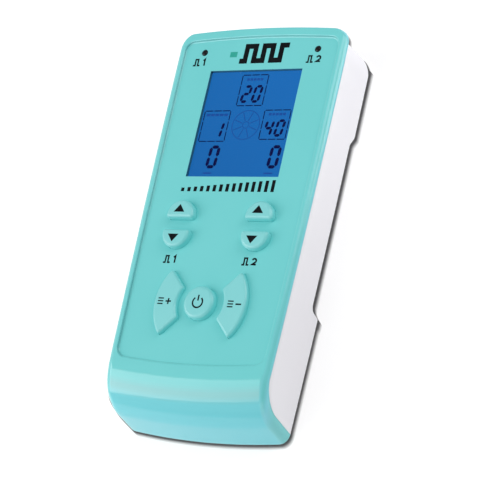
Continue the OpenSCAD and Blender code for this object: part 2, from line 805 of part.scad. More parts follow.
front_shell();
rear_shell();
battery_door();
display_window();
lcd_glass();
lcd_backlight();
lcd_frame();
lcd_connector();
main_board();
key_board();
board_header();
key_up_left();
key_down_left();
key_up_right();
key_down_right();
key_power();
key_program_left();
key_program_right();
snap_domes();
led_left();
led_right();
output_socket_left();
output_socket_right();
charger_socket();
cell_upper();
cell_middle();
cell_lower();
cell_springs();
cell_contacts();
supply_lead_positive();
supply_lead_negative();
case_screws();
main_board_screws();
key_board_screws();
pulse_transformers();
storage_capacitors();
processor();
output_driver();
crystal();
sounder();
cell_ribbon();
rating_label();
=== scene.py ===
"""Handheld control unit with a display, seven keys and three sockets in its top end.

It lies on its back: X runs across the width, with +X on the right of the display,
+Y points to the top end with the sockets, and +Z comes out of the front face.
Sizes are in mm and become metres where the meshes are made.
"""
import json
import math

import bmesh
import bpy
from mathutils import Matrix, Vector


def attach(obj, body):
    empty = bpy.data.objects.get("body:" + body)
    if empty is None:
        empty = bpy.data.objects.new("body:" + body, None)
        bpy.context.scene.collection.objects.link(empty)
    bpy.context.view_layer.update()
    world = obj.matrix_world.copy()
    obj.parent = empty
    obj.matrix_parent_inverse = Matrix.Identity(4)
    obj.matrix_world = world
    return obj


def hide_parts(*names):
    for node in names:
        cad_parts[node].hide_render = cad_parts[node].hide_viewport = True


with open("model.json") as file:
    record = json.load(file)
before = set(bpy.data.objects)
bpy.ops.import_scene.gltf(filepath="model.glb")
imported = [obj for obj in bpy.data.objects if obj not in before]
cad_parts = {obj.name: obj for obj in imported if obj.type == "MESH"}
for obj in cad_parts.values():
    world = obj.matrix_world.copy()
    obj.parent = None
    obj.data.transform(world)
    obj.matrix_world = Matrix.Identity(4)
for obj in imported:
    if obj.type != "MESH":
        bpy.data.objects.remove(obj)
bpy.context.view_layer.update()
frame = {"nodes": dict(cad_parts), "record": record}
scene = bpy.context.scene
scene.view_settings.view_transform = "Standard"
scene.view_settings.look = "None"
MM = 0.001
SIDES = (-1, 1)

# ------------------------------------------------------------------ dimensions
LENGTH = 140.4
WIDTH_TOP, WIDTH_MID, WIDTH_BOTTOM = 67.0, 65.3, 61.6
FRONT_Z = 21.2
TOP_BOW, BOTTOM_BOW = 340.0, 240.0      # radii of the bowed ends, seen from the front
EDGE_FILLET = 3.0
NOSE_RADIUS = 14.4                      # rounding of the bottom end, seen from the side
DRAFT = math.radians(12)                # slope of the bottom end below the nose
WALL = 1.8
CORNER_FRONT, CORNER_REAR = 6.2, 12.0   # top corner radii of the two shells
CORNER_BOTTOM = 3.4
RIM = 3.2                               # width of the rim round the sunken panel

PANEL_Z = FRONT_Z - 0.8
PANEL_INNER_Z = PANEL_Z - 1.6
PARTING_Z = FRONT_Z - 1.5
BACK_TOP_Z, BACK_MID_Z = FRONT_Z - 18.0, FRONT_Z - 16.0
NOSE_Y = (-LENGTH / 2 + (FRONT_Z - NOSE_RADIUS * (1 - math.sin(DRAFT))) * math.tan(DRAFT)
          + NOSE_RADIUS * math.cos(DRAFT))
PARTING_RADIUS, PARTING_Y = NOSE_RADIUS - 3.1, NOSE_Y + 2.2
SHELL_GAP = 0.08

DISPLAY_W, DISPLAY_H, DISPLAY_Y = 36.0, 39.2, 34.92
LED_X, LED_Y = 22.28, 61.59
D_KEY_X, D_KEY_Y = 15.2, -2.45          # centre of an up and down pair
D_KEY_GAP = 2.0                         # half the gap inside a pair
D_KEY_RADIUS, D_KEY_FOOT = 5.2, 1.25    # half round, and depth of the straight part
POWER_Y, POWER_RADIUS = -29.64, 5.7
PROGRAM_TOP_Z = PANEL_Z + 1.8
HIGH_KEY_TOP_Z = PANEL_Z + 2.6          # the D keys and the power key stand higher
KEY_CLEARANCE = 0.1
KEY_FLANGE = 0.7
STEM_FOOT_Z = 16.95
PROGRAM_STEM_X = 12.6

SCREW_X, SCREW_TOP_Y, SCREW_MID_Y = 27.2, 55.5, -18.5
BAY_X, BAY_Y0, BAY_Y1 = 27.0, -62.4, -28.4

# points along the parts of an outline
BOTTOM_STEPS, CORNER_STEPS, SIDE_STEPS, TOP_STEPS = 10, 8, 26, 12


# ------------------------------------------------------------------ plan outlines
def half_width(y):
    """Half the body width at y: a parabola through the three widths."""
    u = 2 * y / LENGTH
    return (WIDTH_MID / 2 + (WIDTH_TOP - WIDTH_BOTTOM) / 4 * u
            + ((WIDTH_TOP + WIDTH_BOTTOM) / 4 - WIDTH_MID / 2) * u * u)


def bow(x, radius):
    """How far a bowed end has fallen back at x."""
    return x * x / (2 * radius)


def upper_half(inset, top_inset, start_y, corner):
    """Right side from start_y, top right corner and bowed top, up to the top centre."""
    corner_x = half_width(LENGTH / 2 - corner) - inset - corner
    tilt = math.atan(corner_x / TOP_BOW)
    end_x = corner_x + corner * math.sin(tilt)
    corner_y = LENGTH / 2 - top_inset - bow(end_x, TOP_BOW) - corner * math.cos(tilt)
    points = []
    for k in range(SIDE_STEPS):
        y = start_y + (corner_y - start_y) * k / SIDE_STEPS
        points.append((half_width(y) - inset, y))
    for k in range(CORNER_STEPS):
        a = (math.pi / 2 - tilt) * k / CORNER_STEPS
        points.append((corner_x + corner * math.cos(a), corner_y + corner * math.sin(a)))
    for k in range(TOP_STEPS + 1):
        x = end_x * (1 - k / TOP_STEPS)
        points.append((x, LENGTH / 2 - top_inset - bow(x, TOP_BOW)))
    return points


def mirrored(right_half):
    return right_half + [(-x, y) for x, y in right_half[-2:0:-1]]


def outline(inset, bottom_y, bottom_inset=0.0, bottom_corner=CORNER_BOTTOM,
            top_corner=CORNER_FRONT):
    """Plan outline, anticlockwise from the bottom centre, inset at the sides and top."""
    corner_x = half_width(bottom_y + bottom_corner) - inset - bottom_corner
    tilt = math.atan(corner_x / BOTTOM_BOW)
    end_x = corner_x + bottom_corner * math.sin(tilt)
    corner_y = (bottom_y + bottom_inset + bow(end_x, BOTTOM_BOW)
                + bottom_corner * math.cos(tilt))
    half = []
    for k in range(BOTTOM_STEPS):
        x = end_x * k / BOTTOM_STEPS
        half.append((x, bottom_y + bottom_inset + bow(x, BOTTOM_BOW)))
    for k in range(CORNER_STEPS):
        a = -math.pi / 2 + tilt + (math.pi / 2 - tilt) * k / CORNER_STEPS
        half.append((corner_x + bottom_corner * math.cos(a),
                     corner_y + bottom_corner * math.sin(a)))
    return mirrored(half + upper_half(inset, inset, corner_y, top_corner))


def nose_edge(depth, angle):
    """Point of the side fillet on the nose: angle round the fillet, depth below the rim."""
    reach = (NOSE_RADIUS - EDGE_FILLET * (1 - math.cos(angle))) ** 2
    y = NOSE_Y - math.sqrt(max(reach - (NOSE_RADIUS - depth) ** 2, 0.0))
    x = half_width(y) - EDGE_FILLET * (1 - math.sin(angle))
    return x, y + bow(x, BOTTOM_BOW)


def nose_outline(depth, top_corner):
    """Plan outline at a depth below the rim, the side fillet running on round the nose."""
    angle = math.acos(max(1 - min(depth, EDGE_FILLET) / EDGE_FILLET, 0.0))
    inset = EDGE_FILLET * (1 - math.sin(angle))
    spread = 0.15 * (1 - angle / (math.pi / 2))     # keeps the corner points apart
    bottom_y = NOSE_Y - math.sqrt(max(NOSE_RADIUS * NOSE_RADIUS - (NOSE_RADIUS - depth) ** 2, 0.0))
    end_x = half_width(bottom_y) - EDGE_FILLET
    half = []
    for k in range(BOTTOM_STEPS):
        x = end_x * k / BOTTOM_STEPS
        half.append((x, bottom_y + bow(x, BOTTOM_BOW)))
    for k in range(CORNER_STEPS):
        x, y = nose_edge(depth, angle * k / CORNER_STEPS)
        half.append((x, y + k * spread))
    start_y = nose_edge(depth, angle)[1] + CORNER_STEPS * spread
    return mirrored(half + upper_half(inset, 0.15 * inset, start_y, top_corner - inset))


def rectangle(x0, x1, y0, y1):
    return [(x0, y0), (x1, y0), (x1, y1), (x0, y1)]


# ------------------------------------------------------------------ mesh helpers
def to_object(bm):
    bmesh.ops.recalc_face_normals(bm, faces=bm.faces)
    mesh = bpy.data.meshes.new("part")
    bm.to_mesh(mesh)
    bm.free()
    part = bpy.data.objects.new("part", mesh)
    scene.collection.objects.link(part)
    return part


def rename(part, name):
    part.name = name
    part.data.name = name


def skin(bm, rings, flip=False):
    """Closed solid through rings of (x, y, z); flip turns the winding of its faces."""
    rings = [[bm.verts.new((x * MM, y * MM, z * MM)) for x, y, z in ring] for ring in rings]
    count = len(rings[0])
    first, last = rings[0], rings[-1]
    bm.faces.new(first if flip else first[::-1])
    bm.faces.new(last[::-1] if flip else last)
    for a, b in zip(rings, rings[1:]):
        for k in range(count):
            n = (k + 1) % count
            bm.faces.new((a[k], b[k], b[n], a[n]) if flip else (a[k], a[n], b[n], b[k]))


def add_loft(bm, levels):
    """levels: [(z, outline)] from the lowest up."""
    skin(bm, [[(x, y, z) for x, y in points] for z, points in levels])


def loft(levels):
    bm = bmesh.new()
    add_loft(bm, levels)
    return to_object(bm)


def prism(points, z0, z1):
    return loft([(z0, points), (z1, points)])


def block(x0, x1, y0, y1, z0, z1):
    return prism(rectangle(x0, x1, y0, y1), z0, z1)


def across(points):
    """Side-view polygon of (y, z), carried across more than the width."""
    bm = bmesh.new()
    skin(bm, [[(x, y, z) for y, z in points] for x in (-50, 50)], flip=True)
    return to_object(bm)


def rod(radius, start, end, segments=48):
    a, b = Vector(start) * MM, Vector(end) * MM
    bm = bmesh.new()
    bmesh.ops.create_cone(bm, cap_ends=True, segments=segments, radius1=radius * MM,
                          radius2=radius * MM, depth=(b - a).length)
    turn = (b - a).to_track_quat("Z", "Y").to_matrix().to_4x4()
    bmesh.ops.transform(bm, matrix=Matrix.Translation((a + b) / 2) @ turn, verts=bm.verts)
    return to_object(bm)


def upright(radius, x, y, z0, z1, segments=48):
    return rod(radius, (x, y, z0), (x, y, z1), segments)


def csg(base, operation, *tools):
    """Applies one boolean operation with each tool in turn; the tools are used up."""
    for tool in tools:
        boolean = base.modifiers.new("b", "BOOLEAN")
        boolean.operation = operation
        boolean.object = tool
        boolean.solver = "MANIFOLD"
    bpy.context.view_layer.update()
    depsgraph = bpy.context.evaluated_depsgraph_get()
    result = bpy.data.meshes.new_from_object(base.evaluated_get(depsgraph))
    base.modifiers.clear()
    old = base.data
    base.data = result
    bpy.data.meshes.remove(old)
    for tool in tools:
        mesh = tool.data
        bpy.data.objects.remove(tool)
        bpy.data.meshes.remove(mesh)
    return base


def clean(part, merge=0.004):
    """Merges stray points and dissolves the flat cuts left by the booleans."""
    bm = bmesh.new()
    bm.from_mesh(part.data)
    bmesh.ops.remove_doubles(bm, verts=bm.verts, dist=merge * MM)
    bmesh.ops.dissolve_degenerate(bm, dist=0.002 * MM, edges=bm.edges)
    bmesh.ops.dissolve_limit(bm, angle_limit=math.radians(0.05), verts=bm.verts, edges=bm.edges)
    bmesh.ops.recalc_face_normals(bm, faces=bm.faces)
    bm.to_mesh(part.data)
    bm.free()
    return part


def smooth(part):
    part.data.shade_smooth()
    part.data.set_sharp_from_angle(angle=math.radians(32))
    normals = part.modifiers.new("normals", "WEIGHTED_NORMAL")
    normals.keep_sharp = True
    normals.weight = 100
    return part


def finish_piece(part, name, body, slot, material=None, cad=None):
    """Names and paints a piece, and tells the frame which body it rides on."""
    rename(part, name)
    part.data.materials.clear()
    part.data.materials.append(MATERIALS[material or slot])
    if cad:
        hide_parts(cad)
    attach(part, body)
    return part


# ------------------------------------------------------------------ shader helpers
MATERIALS = {}      # by name; the frame's slots have the same names


def srgb(*levels):
    def linear(c):
        c /= 255.0
        return c / 12.92 if c <= 0.04045 else ((c + 0.055) / 1.055) ** 2.4
    return tuple(linear(c) for c in levels) + (1.0,)


def new_material(name):
    material = bpy.data.materials.new(name)
    material.use_nodes = True
    MATERIALS[name] = material
    return material.node_tree


def feed(tree, target, inputs):
    """Links or sets inputs, given by socket name or number."""
    for key, value in inputs.items():
        if isinstance(value, bpy.types.NodeSocket):
            tree.links.new(value, target.inputs[key])
        else:
            target.inputs[key].default_value = value


def node(tree, kind, inputs=None, **settings):
    made = tree.nodes.new("ShaderNode" + kind)
    for key, value in settings.items():
        setattr(made, key, value)
    feed(tree, made, inputs or {})
    return made


def mix(tree, factor, a, b, data_type="RGBA", blend="MIX"):
    return node(tree, "Mix", {"Factor": factor, "A": a, "B": b}, data_type=data_type,
                blend_type=blend).outputs["Result"]


def maths(tree, operation, *values):
    return node(tree, "Math", dict(enumerate(values)), operation=operation).outputs[0]


def product(tree, a, b):
    return maths(tree, "MULTIPLY", a, b)


def dot(tree, a, b):
    return node(tree, "VectorMath", {0: a, 1: b}, operation="DOT_PRODUCT").outputs["Value"]


def separate(tree, vector):
    return node(tree, "SeparateXYZ", {"Vector": vector}).outputs


def object_xyz(tree):
    return separate(tree, node(tree, "TexCoord").outputs["Object"])


def coords(tree, scale):
    place = node(tree, "TexCoord").outputs["Object"]
    return node(tree, "Mapping", {"Scale": (scale, scale, scale),
                                  "Vector": place}).outputs["Vector"]


def noise(tree, scale, detail=3.0, rough=0.5):
    return node(tree, "TexNoise", {"Scale": 1.0, "Detail": detail, "Roughness": rough,
                                   "Vector": coords(tree, scale)}).outputs["Fac"]


def ramp(tree, value, over, to=(0.0, 1.0)):
    return node(tree, "MapRange", {"From Min": over[0], "From Max": over[1], "To Min": to[0],
                                   "To Max": to[1], "Value": value}).outputs["Result"]


def principled_of(name):
    tree = MATERIALS[name].node_tree
    return tree, tree.nodes["Principled BSDF"]


def base_color(principled):
    return principled.inputs["Base Color"].links[0].from_socket


def surface(name, base=None, dark=None, rough=0.4, rough_var=0.06, grain=2600.0, bump=0.02,
            var_scale=60.0, metal=0.0, coat=0.0, coat_rough=0.1, spec=0.5, edge=0.0, sheen=0.0,
            paint=None):
    """Moulded or metal surface with varied roughness, fine grain bump and rounded edges.

    Its colour drifts slowly from base to dark, or comes from paint(tree).
    """
    tree = new_material(name)
    principled = tree.nodes["Principled BSDF"]
    if paint:
        color = paint(tree)
    else:
        drift = ramp(tree, noise(tree, scale=var_scale, detail=2.0), over=(0.35, 0.65))
        color = mix(tree, drift, base, dark)
    roughness = ramp(tree, noise(tree, scale=var_scale * 6, detail=4.0), over=(0.3, 0.7),
                     to=(rough - rough_var, rough + rough_var))
    relief = {"Strength": 1.0, "Distance": bump * MM,
              "Height": noise(tree, scale=grain, detail=4.0, rough=0.6)}
    if edge > 0:
        relief["Normal"] = node(tree, "Bevel", {"Radius": edge * MM}, samples=6).outputs["Normal"]
    feed(tree, principled, {
        "Base Color": color, "Roughness": roughness, "Metallic": metal,
        "Specular IOR Level": spec, "Coat Weight": coat, "Coat Roughness": coat_rough,
        "Sheen Weight": sheen, "Normal": node(tree, "Bump", relief).outputs["Normal"]})


# ------------------------------------------------------------------ materials
# name, base and dark colour in sRGB, roughness and its variation, grain scale,
# bump height in mm, scale of the slow drift, further settings
SURFACES = (
    ("teal_plastic", (110, 200, 201), (107, 197, 198), 0.36, 0.03, 3200, 0.004, 35,
     dict(coat=0.85, spec=0.12)),
    ("key_plastic", (121, 199, 201), (117, 196, 198), 0.42, 0.04, 3600, 0.008, 60,
     dict(coat=0.3, coat_rough=0.22)),
    ("white_plastic", (238, 237, 242), (234, 233, 239), 0.38, 0.04, 2600, 0.008, 40,
     dict(coat=0.05)),
    ("door_plastic", (236, 235, 240), (231, 230, 236), 0.42, 0.05, 2600, 0.01, 40,
     dict(edge=0.25)),
    ("ink", (9, 12, 15), (16, 20, 23), 0.55, 0.06, 5000, 0.003, 400, dict(spec=0.06)),
    ("accent_ink", (30, 158, 142), (26, 148, 134), 0.5, 0.06, 5000, 0.003, 400, {}),
    ("black_plastic", (26, 27, 30), (34, 35, 38), 0.5, 0.06, 2500, 0.01, 90, dict(edge=0.15)),
    ("socket_plastic", (20, 21, 24), (30, 31, 35), 0.42, 0.06, 2200, 0.012, 120, dict(edge=0.2)),
    ("led_lens", (12, 14, 16), (22, 24, 28), 0.3, 0.03, 2500, 0.002, 300,
     dict(coat=0.15, spec=0.15)),
    ("diffuser", (240, 240, 230), (228, 230, 220), 0.6, 0.06, 2000, 0.01, 80, {}),
    ("frame_plastic", (38, 42, 52), (46, 50, 60), 0.5, 0.06, 2400, 0.015, 70, dict(edge=0.2)),
    ("elastomer", (62, 62, 70), (48, 48, 56), 0.75, 0.06, 1800, 0.03, 200, dict(sheen=0.2)),
    ("chip", (26, 26, 28), (38, 38, 41), 0.6, 0.06, 3500, 0.02, 300, dict(edge=0.08)),
    ("ferrite", (44, 44, 48), (58, 57, 60), 0.7, 0.06, 2500, 0.04, 300, dict(edge=0.2)),
    ("screw_steel", (200, 202, 206), (172, 175, 182), 0.28, 0.06, 1800, 0.01, 300,
     dict(metal=1.0, edge=0.12)),
    ("spring_steel", (205, 205, 208), (180, 180, 186), 0.22, 0.06, 1500, 0.008, 250,
     dict(metal=1.0)),
    ("dome_steel", (214, 214, 218), (195, 195, 202), 0.16, 0.06, 1500, 0.004, 250,
     dict(metal=1.0)),
    ("crystal_can", (205, 205, 209), (185, 186, 192), 0.25, 0.06, 1500, 0.01, 250,
     dict(metal=1.0, edge=0.3)),
    ("link_copper", (214, 160, 104), (190, 132, 84), 0.3, 0.06, 1500, 0.01, 250,
     dict(metal=1.0)),
    ("capacitor_can", (38, 52, 92), (30, 42, 78), 0.3, 0.06, 1500, 0.004, 200,
     dict(coat=0.3, edge=0.2)),
    ("lead_red", (190, 30, 32), (160, 22, 26), 0.45, 0.06, 2000, 0.02, 300, {}),
    ("lead_black", (28, 28, 32), (40, 40, 44), 0.45, 0.06, 2000, 0.02, 300, {}),
    ("label_film", (246, 246, 244), (238, 238, 236), 0.45, 0.06, 2500, 0.004, 90, {}),
    ("lcd_segment", (6, 10, 58), (9, 15, 68), 0.6, 0.06, 4000, 0.002, 300, dict(spec=0.03)),
    ("lcd_segment_faint", (12, 48, 104), (15, 53, 110), 0.6, 0.06, 4000, 0.002, 300,
     dict(spec=0.1)),
)
for name, base, dark, rough, rough_var, grain, bump, var_scale, extra in SURFACES:
    surface(name, base=srgb(*base), dark=srgb(*dark), rough=rough, rough_var=rough_var,
            grain=grain, bump=bump, var_scale=var_scale, **extra)


def paint_light_by_facing(name, painted_slope_low, painted_slope_high, band, side, painted_wall_light, painted_wall_shade):
    """Painted light and shade by facing: paler, bluer turned outer faces, lit or shaded inner
    walls.
    """
    tree, principled = principled_of(name)
    texture = node(tree, "TexCoord").outputs
    normal = texture["Normal"]
    facing = separate(tree, normal)
    up = facing["Z"]

    # how far a face has turned, at the ends and at the sides
    end_turn = ramp(tree, up, over=(0.93, 0.985), to=(1.0, 0.0))
    side_turn = product(tree, ramp(tree, up, over=(0.52, 0.76), to=(1.0, 0.0)),
                        ramp(tree, up, over=(0.15, 0.45), to=(0.12, 1.0)))
    flat = node(tree, "VectorMath", {0: texture["Object"], 1: (1.0, 1.0, 0.0)},
                operation="MULTIPLY").outputs["Vector"]
    outward = maths(tree, "GREATER_THAN", dot(tree, normal, flat), 0.0)
    sideways = ramp(tree, maths(tree, "ABSOLUTE", facing["X"], 0.0), over=(0.1, 0.45))
    right = ramp(tree, facing["X"], over=(-0.05, 0.05), to=(0.6, 1.0))
    turn = mix(tree, sideways, end_turn, product(tree, side_turn, right), data_type="FLOAT")

    # painted light colours for the sloping ends, the band where the front starts to turn, and the
    # side fillets
    slope = mix(tree, ramp(tree, up, over=(0.35, 0.72)), painted_slope_low, painted_slope_high)
    end_color = mix(tree, ramp(tree, up, over=(0.80, 0.90)), slope, band)
    turned = mix(tree, sideways, end_color, side)
    color = mix(tree, product(tree, turn, outward), base_color(principled), turned)

    # walls that face inwards: a painted highlight towards the lower left, painted shade where they
    # are upright
    lit = ramp(tree, dot(tree, normal, (-0.7, -0.7, 0.0)), over=(0.05, 0.25))
    inward_lit = product(tree, maths(tree, "SUBTRACT", 1.0, outward), lit)
    pale = product(tree, product(tree, end_turn, inward_lit), 0.5)
    color = mix(tree, pale, color, painted_wall_light)
    shaded = product(tree, maths(tree, "SUBTRACT", 1.0, outward),
                     ramp(tree, up, over=(0.2, 0.35), to=(0.85, 0.0)))
    feed(tree, principled, {"Base Color": mix(tree, shaded, color, painted_wall_shade)})


GLOW_BALANCE = 0.624    # the higher it is, the less colour is taken out for the glow


def paint_shade_glow(name, glow, flat_only):
    """Painted glow: a teal emission keeps the shade a full teal, the base colour lowered to match.
    """
    tree, principled = principled_of(name)
    if flat_only:
        up = separate(tree, node(tree, "TexCoord").outputs["Normal"])["Z"]
        amount = ramp(tree, up, over=(0.955, 0.995))
    else:
        amount = node(tree, "Value").outputs[0]
        amount.default_value = 1.0
    kept = 1 - glow / GLOW_BALANCE
    feed(tree, principled, {
        "Base Color": mix(tree, amount, base_color(principled), (1.0, kept, kept, 1.0),
                          blend="MULTIPLY"),
        "Emission Color": (0.0, 1.0, 1.0, 1.0),
        "Emission Strength": product(tree, amount, glow)})


def paint_length_shade(name, color, span):
    """Painted shade along the length, darker towards the bottom end; span is in metres of Y."""
    tree, principled = principled_of(name)
    low_end = ramp(tree, object_xyz(tree)["Y"], over=span, to=(1.0, 0.0))
    feed(tree, principled, {"Base Color": mix(tree, low_end, base_color(principled), color)})


# painted light and shade on the teal shell, set by the way its faces turn
paint_light_by_facing("teal_plastic", painted_slope_low=srgb(96, 197, 208), painted_slope_high=srgb(113, 201, 210),
          band=srgb(121, 190, 192), side=srgb(128, 210, 221), painted_wall_light=srgb(160, 232, 234),
          painted_wall_shade=srgb(22, 70, 96))
# painted glow that keeps the shade a full teal, on the flat teal faces and on the keys
paint_shade_glow("teal_plastic", glow=0.2, flat_only=True)
paint_shade_glow("key_plastic", glow=0.22, flat_only=False)
# painted shade on the white shell, darker towards its bottom end
paint_length_shade("white_plastic", color=srgb(227, 226, 231), span=(-0.03, 0.04))
feed(*principled_of("lcd_segment_faint"), {"Emission Color": srgb(16, 62, 122),
                                           "Emission Strength": 0.8})


def board_paint(tree):
    """Green solder mask with copper tracks showing through."""
    return node(tree, "TexBrick", {
        "Scale": 1.0, "Color1": srgb(24, 110, 62), "Color2": srgb(18, 96, 54),
        "Mortar": srgb(62, 150, 92), "Mortar Size": 0.03, "Brick Width": 1.7,
        "Row Height": 0.6, "Vector": coords(tree, scale=420.0)}).outputs["Color"]


CELL_METAL, CELL_GREEN, CELL_LIGHT = srgb(196, 198, 202), srgb(36, 128, 90), srgb(236, 238, 232)
# where each colour of the cell sleeve starts along its length
CELL_BANDS = ((0.30, CELL_LIGHT), (0.36, CELL_GREEN), (0.72, CELL_LIGHT), (0.76, CELL_GREEN),
              (0.965, CELL_METAL))


def cell_paint(tree):
    """Printed cell sleeve: broad green bands, light bands and metal ends."""
    sleeve = node(tree, "ValToRGB")
    sleeve.color_ramp.interpolation = "CONSTANT"
    bands = sleeve.color_ramp.elements
    bands[0].position, bands[0].color = 0.0, CELL_METAL
    bands[1].position, bands[1].color = 0.035, CELL_GREEN
    for position, color in CELL_BANDS:
        bands.new(position).color = color
    feed(tree, sleeve, {"Fac": ramp(tree, object_xyz(tree)["X"], over=(-0.0222, 0.0222))})
    return sleeve.outputs["Color"]


surface("board", paint=board_paint, rough=0.32, grain=2200, bump=0.008, var_scale=90, coat=0.25)
surface("cell_can", paint=cell_paint, rough=0.28, grain=1500, bump=0.004, var_scale=120, coat=0.4)


def window_material():
    """Clear plastic that passes light straight through and keeps a soft surface reflection."""
    tree = new_material("window")
    tree.nodes.remove(tree.nodes["Principled BSDF"])
    tint = mix(tree, noise(tree, scale=120, detail=2.0), (0.98, 0.99, 1.0, 1),
               (0.96, 0.985, 1.0, 1))
    clear = node(tree, "BsdfTransparent", {"Color": tint})
    ripple = node(tree, "Bump", {"Distance": 0.0015 * MM,
                                 "Height": noise(tree, scale=700, detail=2.0)})
    gloss = node(tree, "BsdfGlossy", {
        "Roughness": ramp(tree, noise(tree, scale=900, detail=3.0), over=(0.3, 0.7),
                          to=(0.04, 0.09)),
        "Normal": ripple.outputs["Normal"]})
    fresnel = node(tree, "Fresnel", {"IOR": 1.14}).outputs["Fac"]
    # no reflection from the inner side, so the display stays lit from low angles
    backfacing = node(tree, "NewGeometry").outputs["Backfacing"]
    outer = maths(tree, "SUBTRACT", 1.0, backfacing)
    window = node(tree, "MixShader", {"Fac": product(tree, fresnel, outer),
                                      1: clear.outputs["BSDF"], 2: gloss.outputs["BSDF"]})
    feed(tree, tree.nodes["Material Output"], {"Surface": window.outputs["Shader"]})


def lcd_material():
    """Lit blue display: a glow that falls off to the lower left, over a faint grain."""
    tree = new_material("lcd_blue")
    place = object_xyz(tree)
    across_share = ramp(tree, place["X"], over=(-0.018, 0.018), to=(0.0, 0.45))
    along_share = ramp(tree, place["Y"], over=(0.0153, 0.0545), to=(0.0, 0.55))
    cloud = 0.25        # share of the slow noise in the glow
    drift = maths(tree, "MULTIPLY_ADD", noise(tree, scale=60, detail=2.0), cloud,
                  maths(tree, "ADD", across_share, along_share))
    feed(tree, tree.nodes["Principled BSDF"], {
        "Base Color": srgb(5, 20, 44), "Roughness": 0.4, "Specular IOR Level": 0.05,
        "Emission Color": mix(tree, drift, srgb(25, 102, 172), srgb(28, 110, 185)),
        "Emission Strength": ramp(tree, noise(tree, scale=5200, detail=1.0), over=(0.2, 0.8),
                                  to=(0.86, 0.96))})


window_material()
lcd_material()

NODE_SLOT = {s["node"]: s["material_slot"] for s in frame["record"]["subparts"]}
for name, piece in frame["nodes"].items():
    material = MATERIALS[NODE_SLOT[name]]
    piece.data.materials.clear()
    piece.data.materials.append(material)


# ------------------------------------------------------------------ body form
def body_levels(top_corner=CORNER_FRONT):
    """Levels of the whole body, from its rounded back edge up to the rim."""
    levels = []
    back_fillet = 0.8
    for k in range(6):
        a = math.pi / 2 * k / 5
        z, inset = back_fillet * (1 - math.cos(a)), back_fillet * (1 - math.sin(a))
        levels.append((z, outline(inset, -LENGTH / 2 + z * math.tan(DRAFT), 0.3 * inset,
                                  top_corner=top_corner)))
    nose_depth = NOSE_RADIUS * (1 - math.cos(math.pi / 2 - DRAFT))
    for k in (1, 2, 3):
        z = back_fillet + (FRONT_Z - nose_depth - back_fillet) * k / 4
        levels.append((z, outline(0, -LENGTH / 2 + z * math.tan(DRAFT), top_corner=top_corner)))
    # depths where either the nose or the side fillet has a step
    depths = {round(NOSE_RADIUS * (1 - math.cos((math.pi / 2 - DRAFT) * k / 24)), 5)
              for k in range(25)}
    depths |= {round(EDGE_FILLET * (1 - math.cos(math.pi / 2 * k / 12)), 5) for k in range(13)}
    depths = sorted(depths, reverse=True)
    kept = [depths[0]]
    for depth in depths[1:]:
        if kept[-1] - depth > 0.012 or depth == 0:
            kept.append(depth)
    for depth in kept:
        levels.append((FRONT_Z - depth, nose_outline(depth, top_corner)))
    return levels


def hood_line(gap):
    """Side view (y, z) of the parting line, over the nose and down the bottom end."""
    radius, low, steps = PARTING_RADIUS - gap, -2.0, 24
    points = []
    for k in range(steps + 1):
        a = math.radians(78) * k / steps
        points.append((PARTING_Y - radius * math.sin(a),
                       PARTING_Z - PARTING_RADIUS + radius * math.cos(a)))
    y, z = points[-1]
    points.append((y - (z - low) * math.tan(DRAFT), low))
    return points


def d_key_center_y(up):
    return D_KEY_Y + (1 if up else -1) * (D_KEY_GAP + D_KEY_FOOT)


def d_key_outline(inset, up, side):
    """Half round with a short straight foot; the down key is turned half round."""
    radius, foot = D_KEY_RADIUS - inset, D_KEY_FOOT - inset
    corner = max(1.0 - inset, 0.05)
    points = [(radius * math.cos(math.pi * k / 36), radius * math.sin(math.pi * k / 36))
              for k in range(37)]
    for center_x, start in ((-radius + corner, math.pi), (radius - corner, 1.5 * math.pi)):
        for k in range(9):
            a = start + math.pi / 2 * k / 8
            points.append((center_x + corner * math.cos(a), -foot + corner + corner * math.sin(a)))
    turn = 1 if up else -1
    return [(side * D_KEY_X + turn * x, d_key_center_y(up) + turn * y) for x, y in points]


def program_key_outline(inset, side):
    """Sharp-cornered part of a ring round the power key, its ends sloping outwards."""
    slope = math.radians(46.8)
    apex_x = 2.6 + inset / math.sin(slope)      # where the lines of the two ends meet
    outer, inner = 17.5 - inset, 8.9 + inset

    def end_angle(radius):
        b = apex_x * math.cos(slope)
        t = -b + math.sqrt(b * b - apex_x * apex_x + radius * radius)
        return math.atan2(t * math.sin(slope), apex_x + t * math.cos(slope))

    points = []
    for radius, start, steps in ((outer, -end_angle(outer), 44), (inner, end_angle(inner), 20)):
        for k in range(steps + 1):
            a = start - 2 * start * k / steps
            points.append((radius * math.cos(a), radius * math.sin(a)))
    return [(side * x, POWER_Y + side * y) for x, y in points]


# index of each corner of a program key, and the length its rounding takes off both sides
PROGRAM_CORNERS = {0: 1.2, 44: 1.2, 45: 0.9, 65: 0.9}


def along(points, corner, step, length):
    """Walks from a corner of a closed line; gives the end and how many points were passed."""
    here, passed = Vector(points[corner]), 0
    while True:
        there = Vector(points[(corner + step * (passed + 1)) % len(points)])
        distance = (there - here).length
        if distance >= length:
            return here + (there - here) * (length / distance), passed
        length -= distance
        here = there
        passed += 1


def round_corners(points, corners):
    """Replaces each corner by a quadratic curve of nine points."""
    count = len(points)
    gone, curves = set(), {}
    for corner, cut in corners.items():
        start, before = along(points, corner, -1, cut)
        end, after = along(points, corner, 1, cut)
        gone |= {(corner - j) % count for j in range(before + 1)}
        gone |= {(corner + j) % count for j in range(1, after + 1)}
        tip = Vector(points[corner])
        curves[corner] = [tuple(start * (1 - t) ** 2 + tip * 2 * t * (1 - t) + end * t * t)
                          for t in [j / 8 for j in range(9)]]
    rounded = []
    for k in range(count):
        if k in curves:
            rounded += curves[k]
        elif k not in gone:
            rounded.append(points[k])
    return rounded


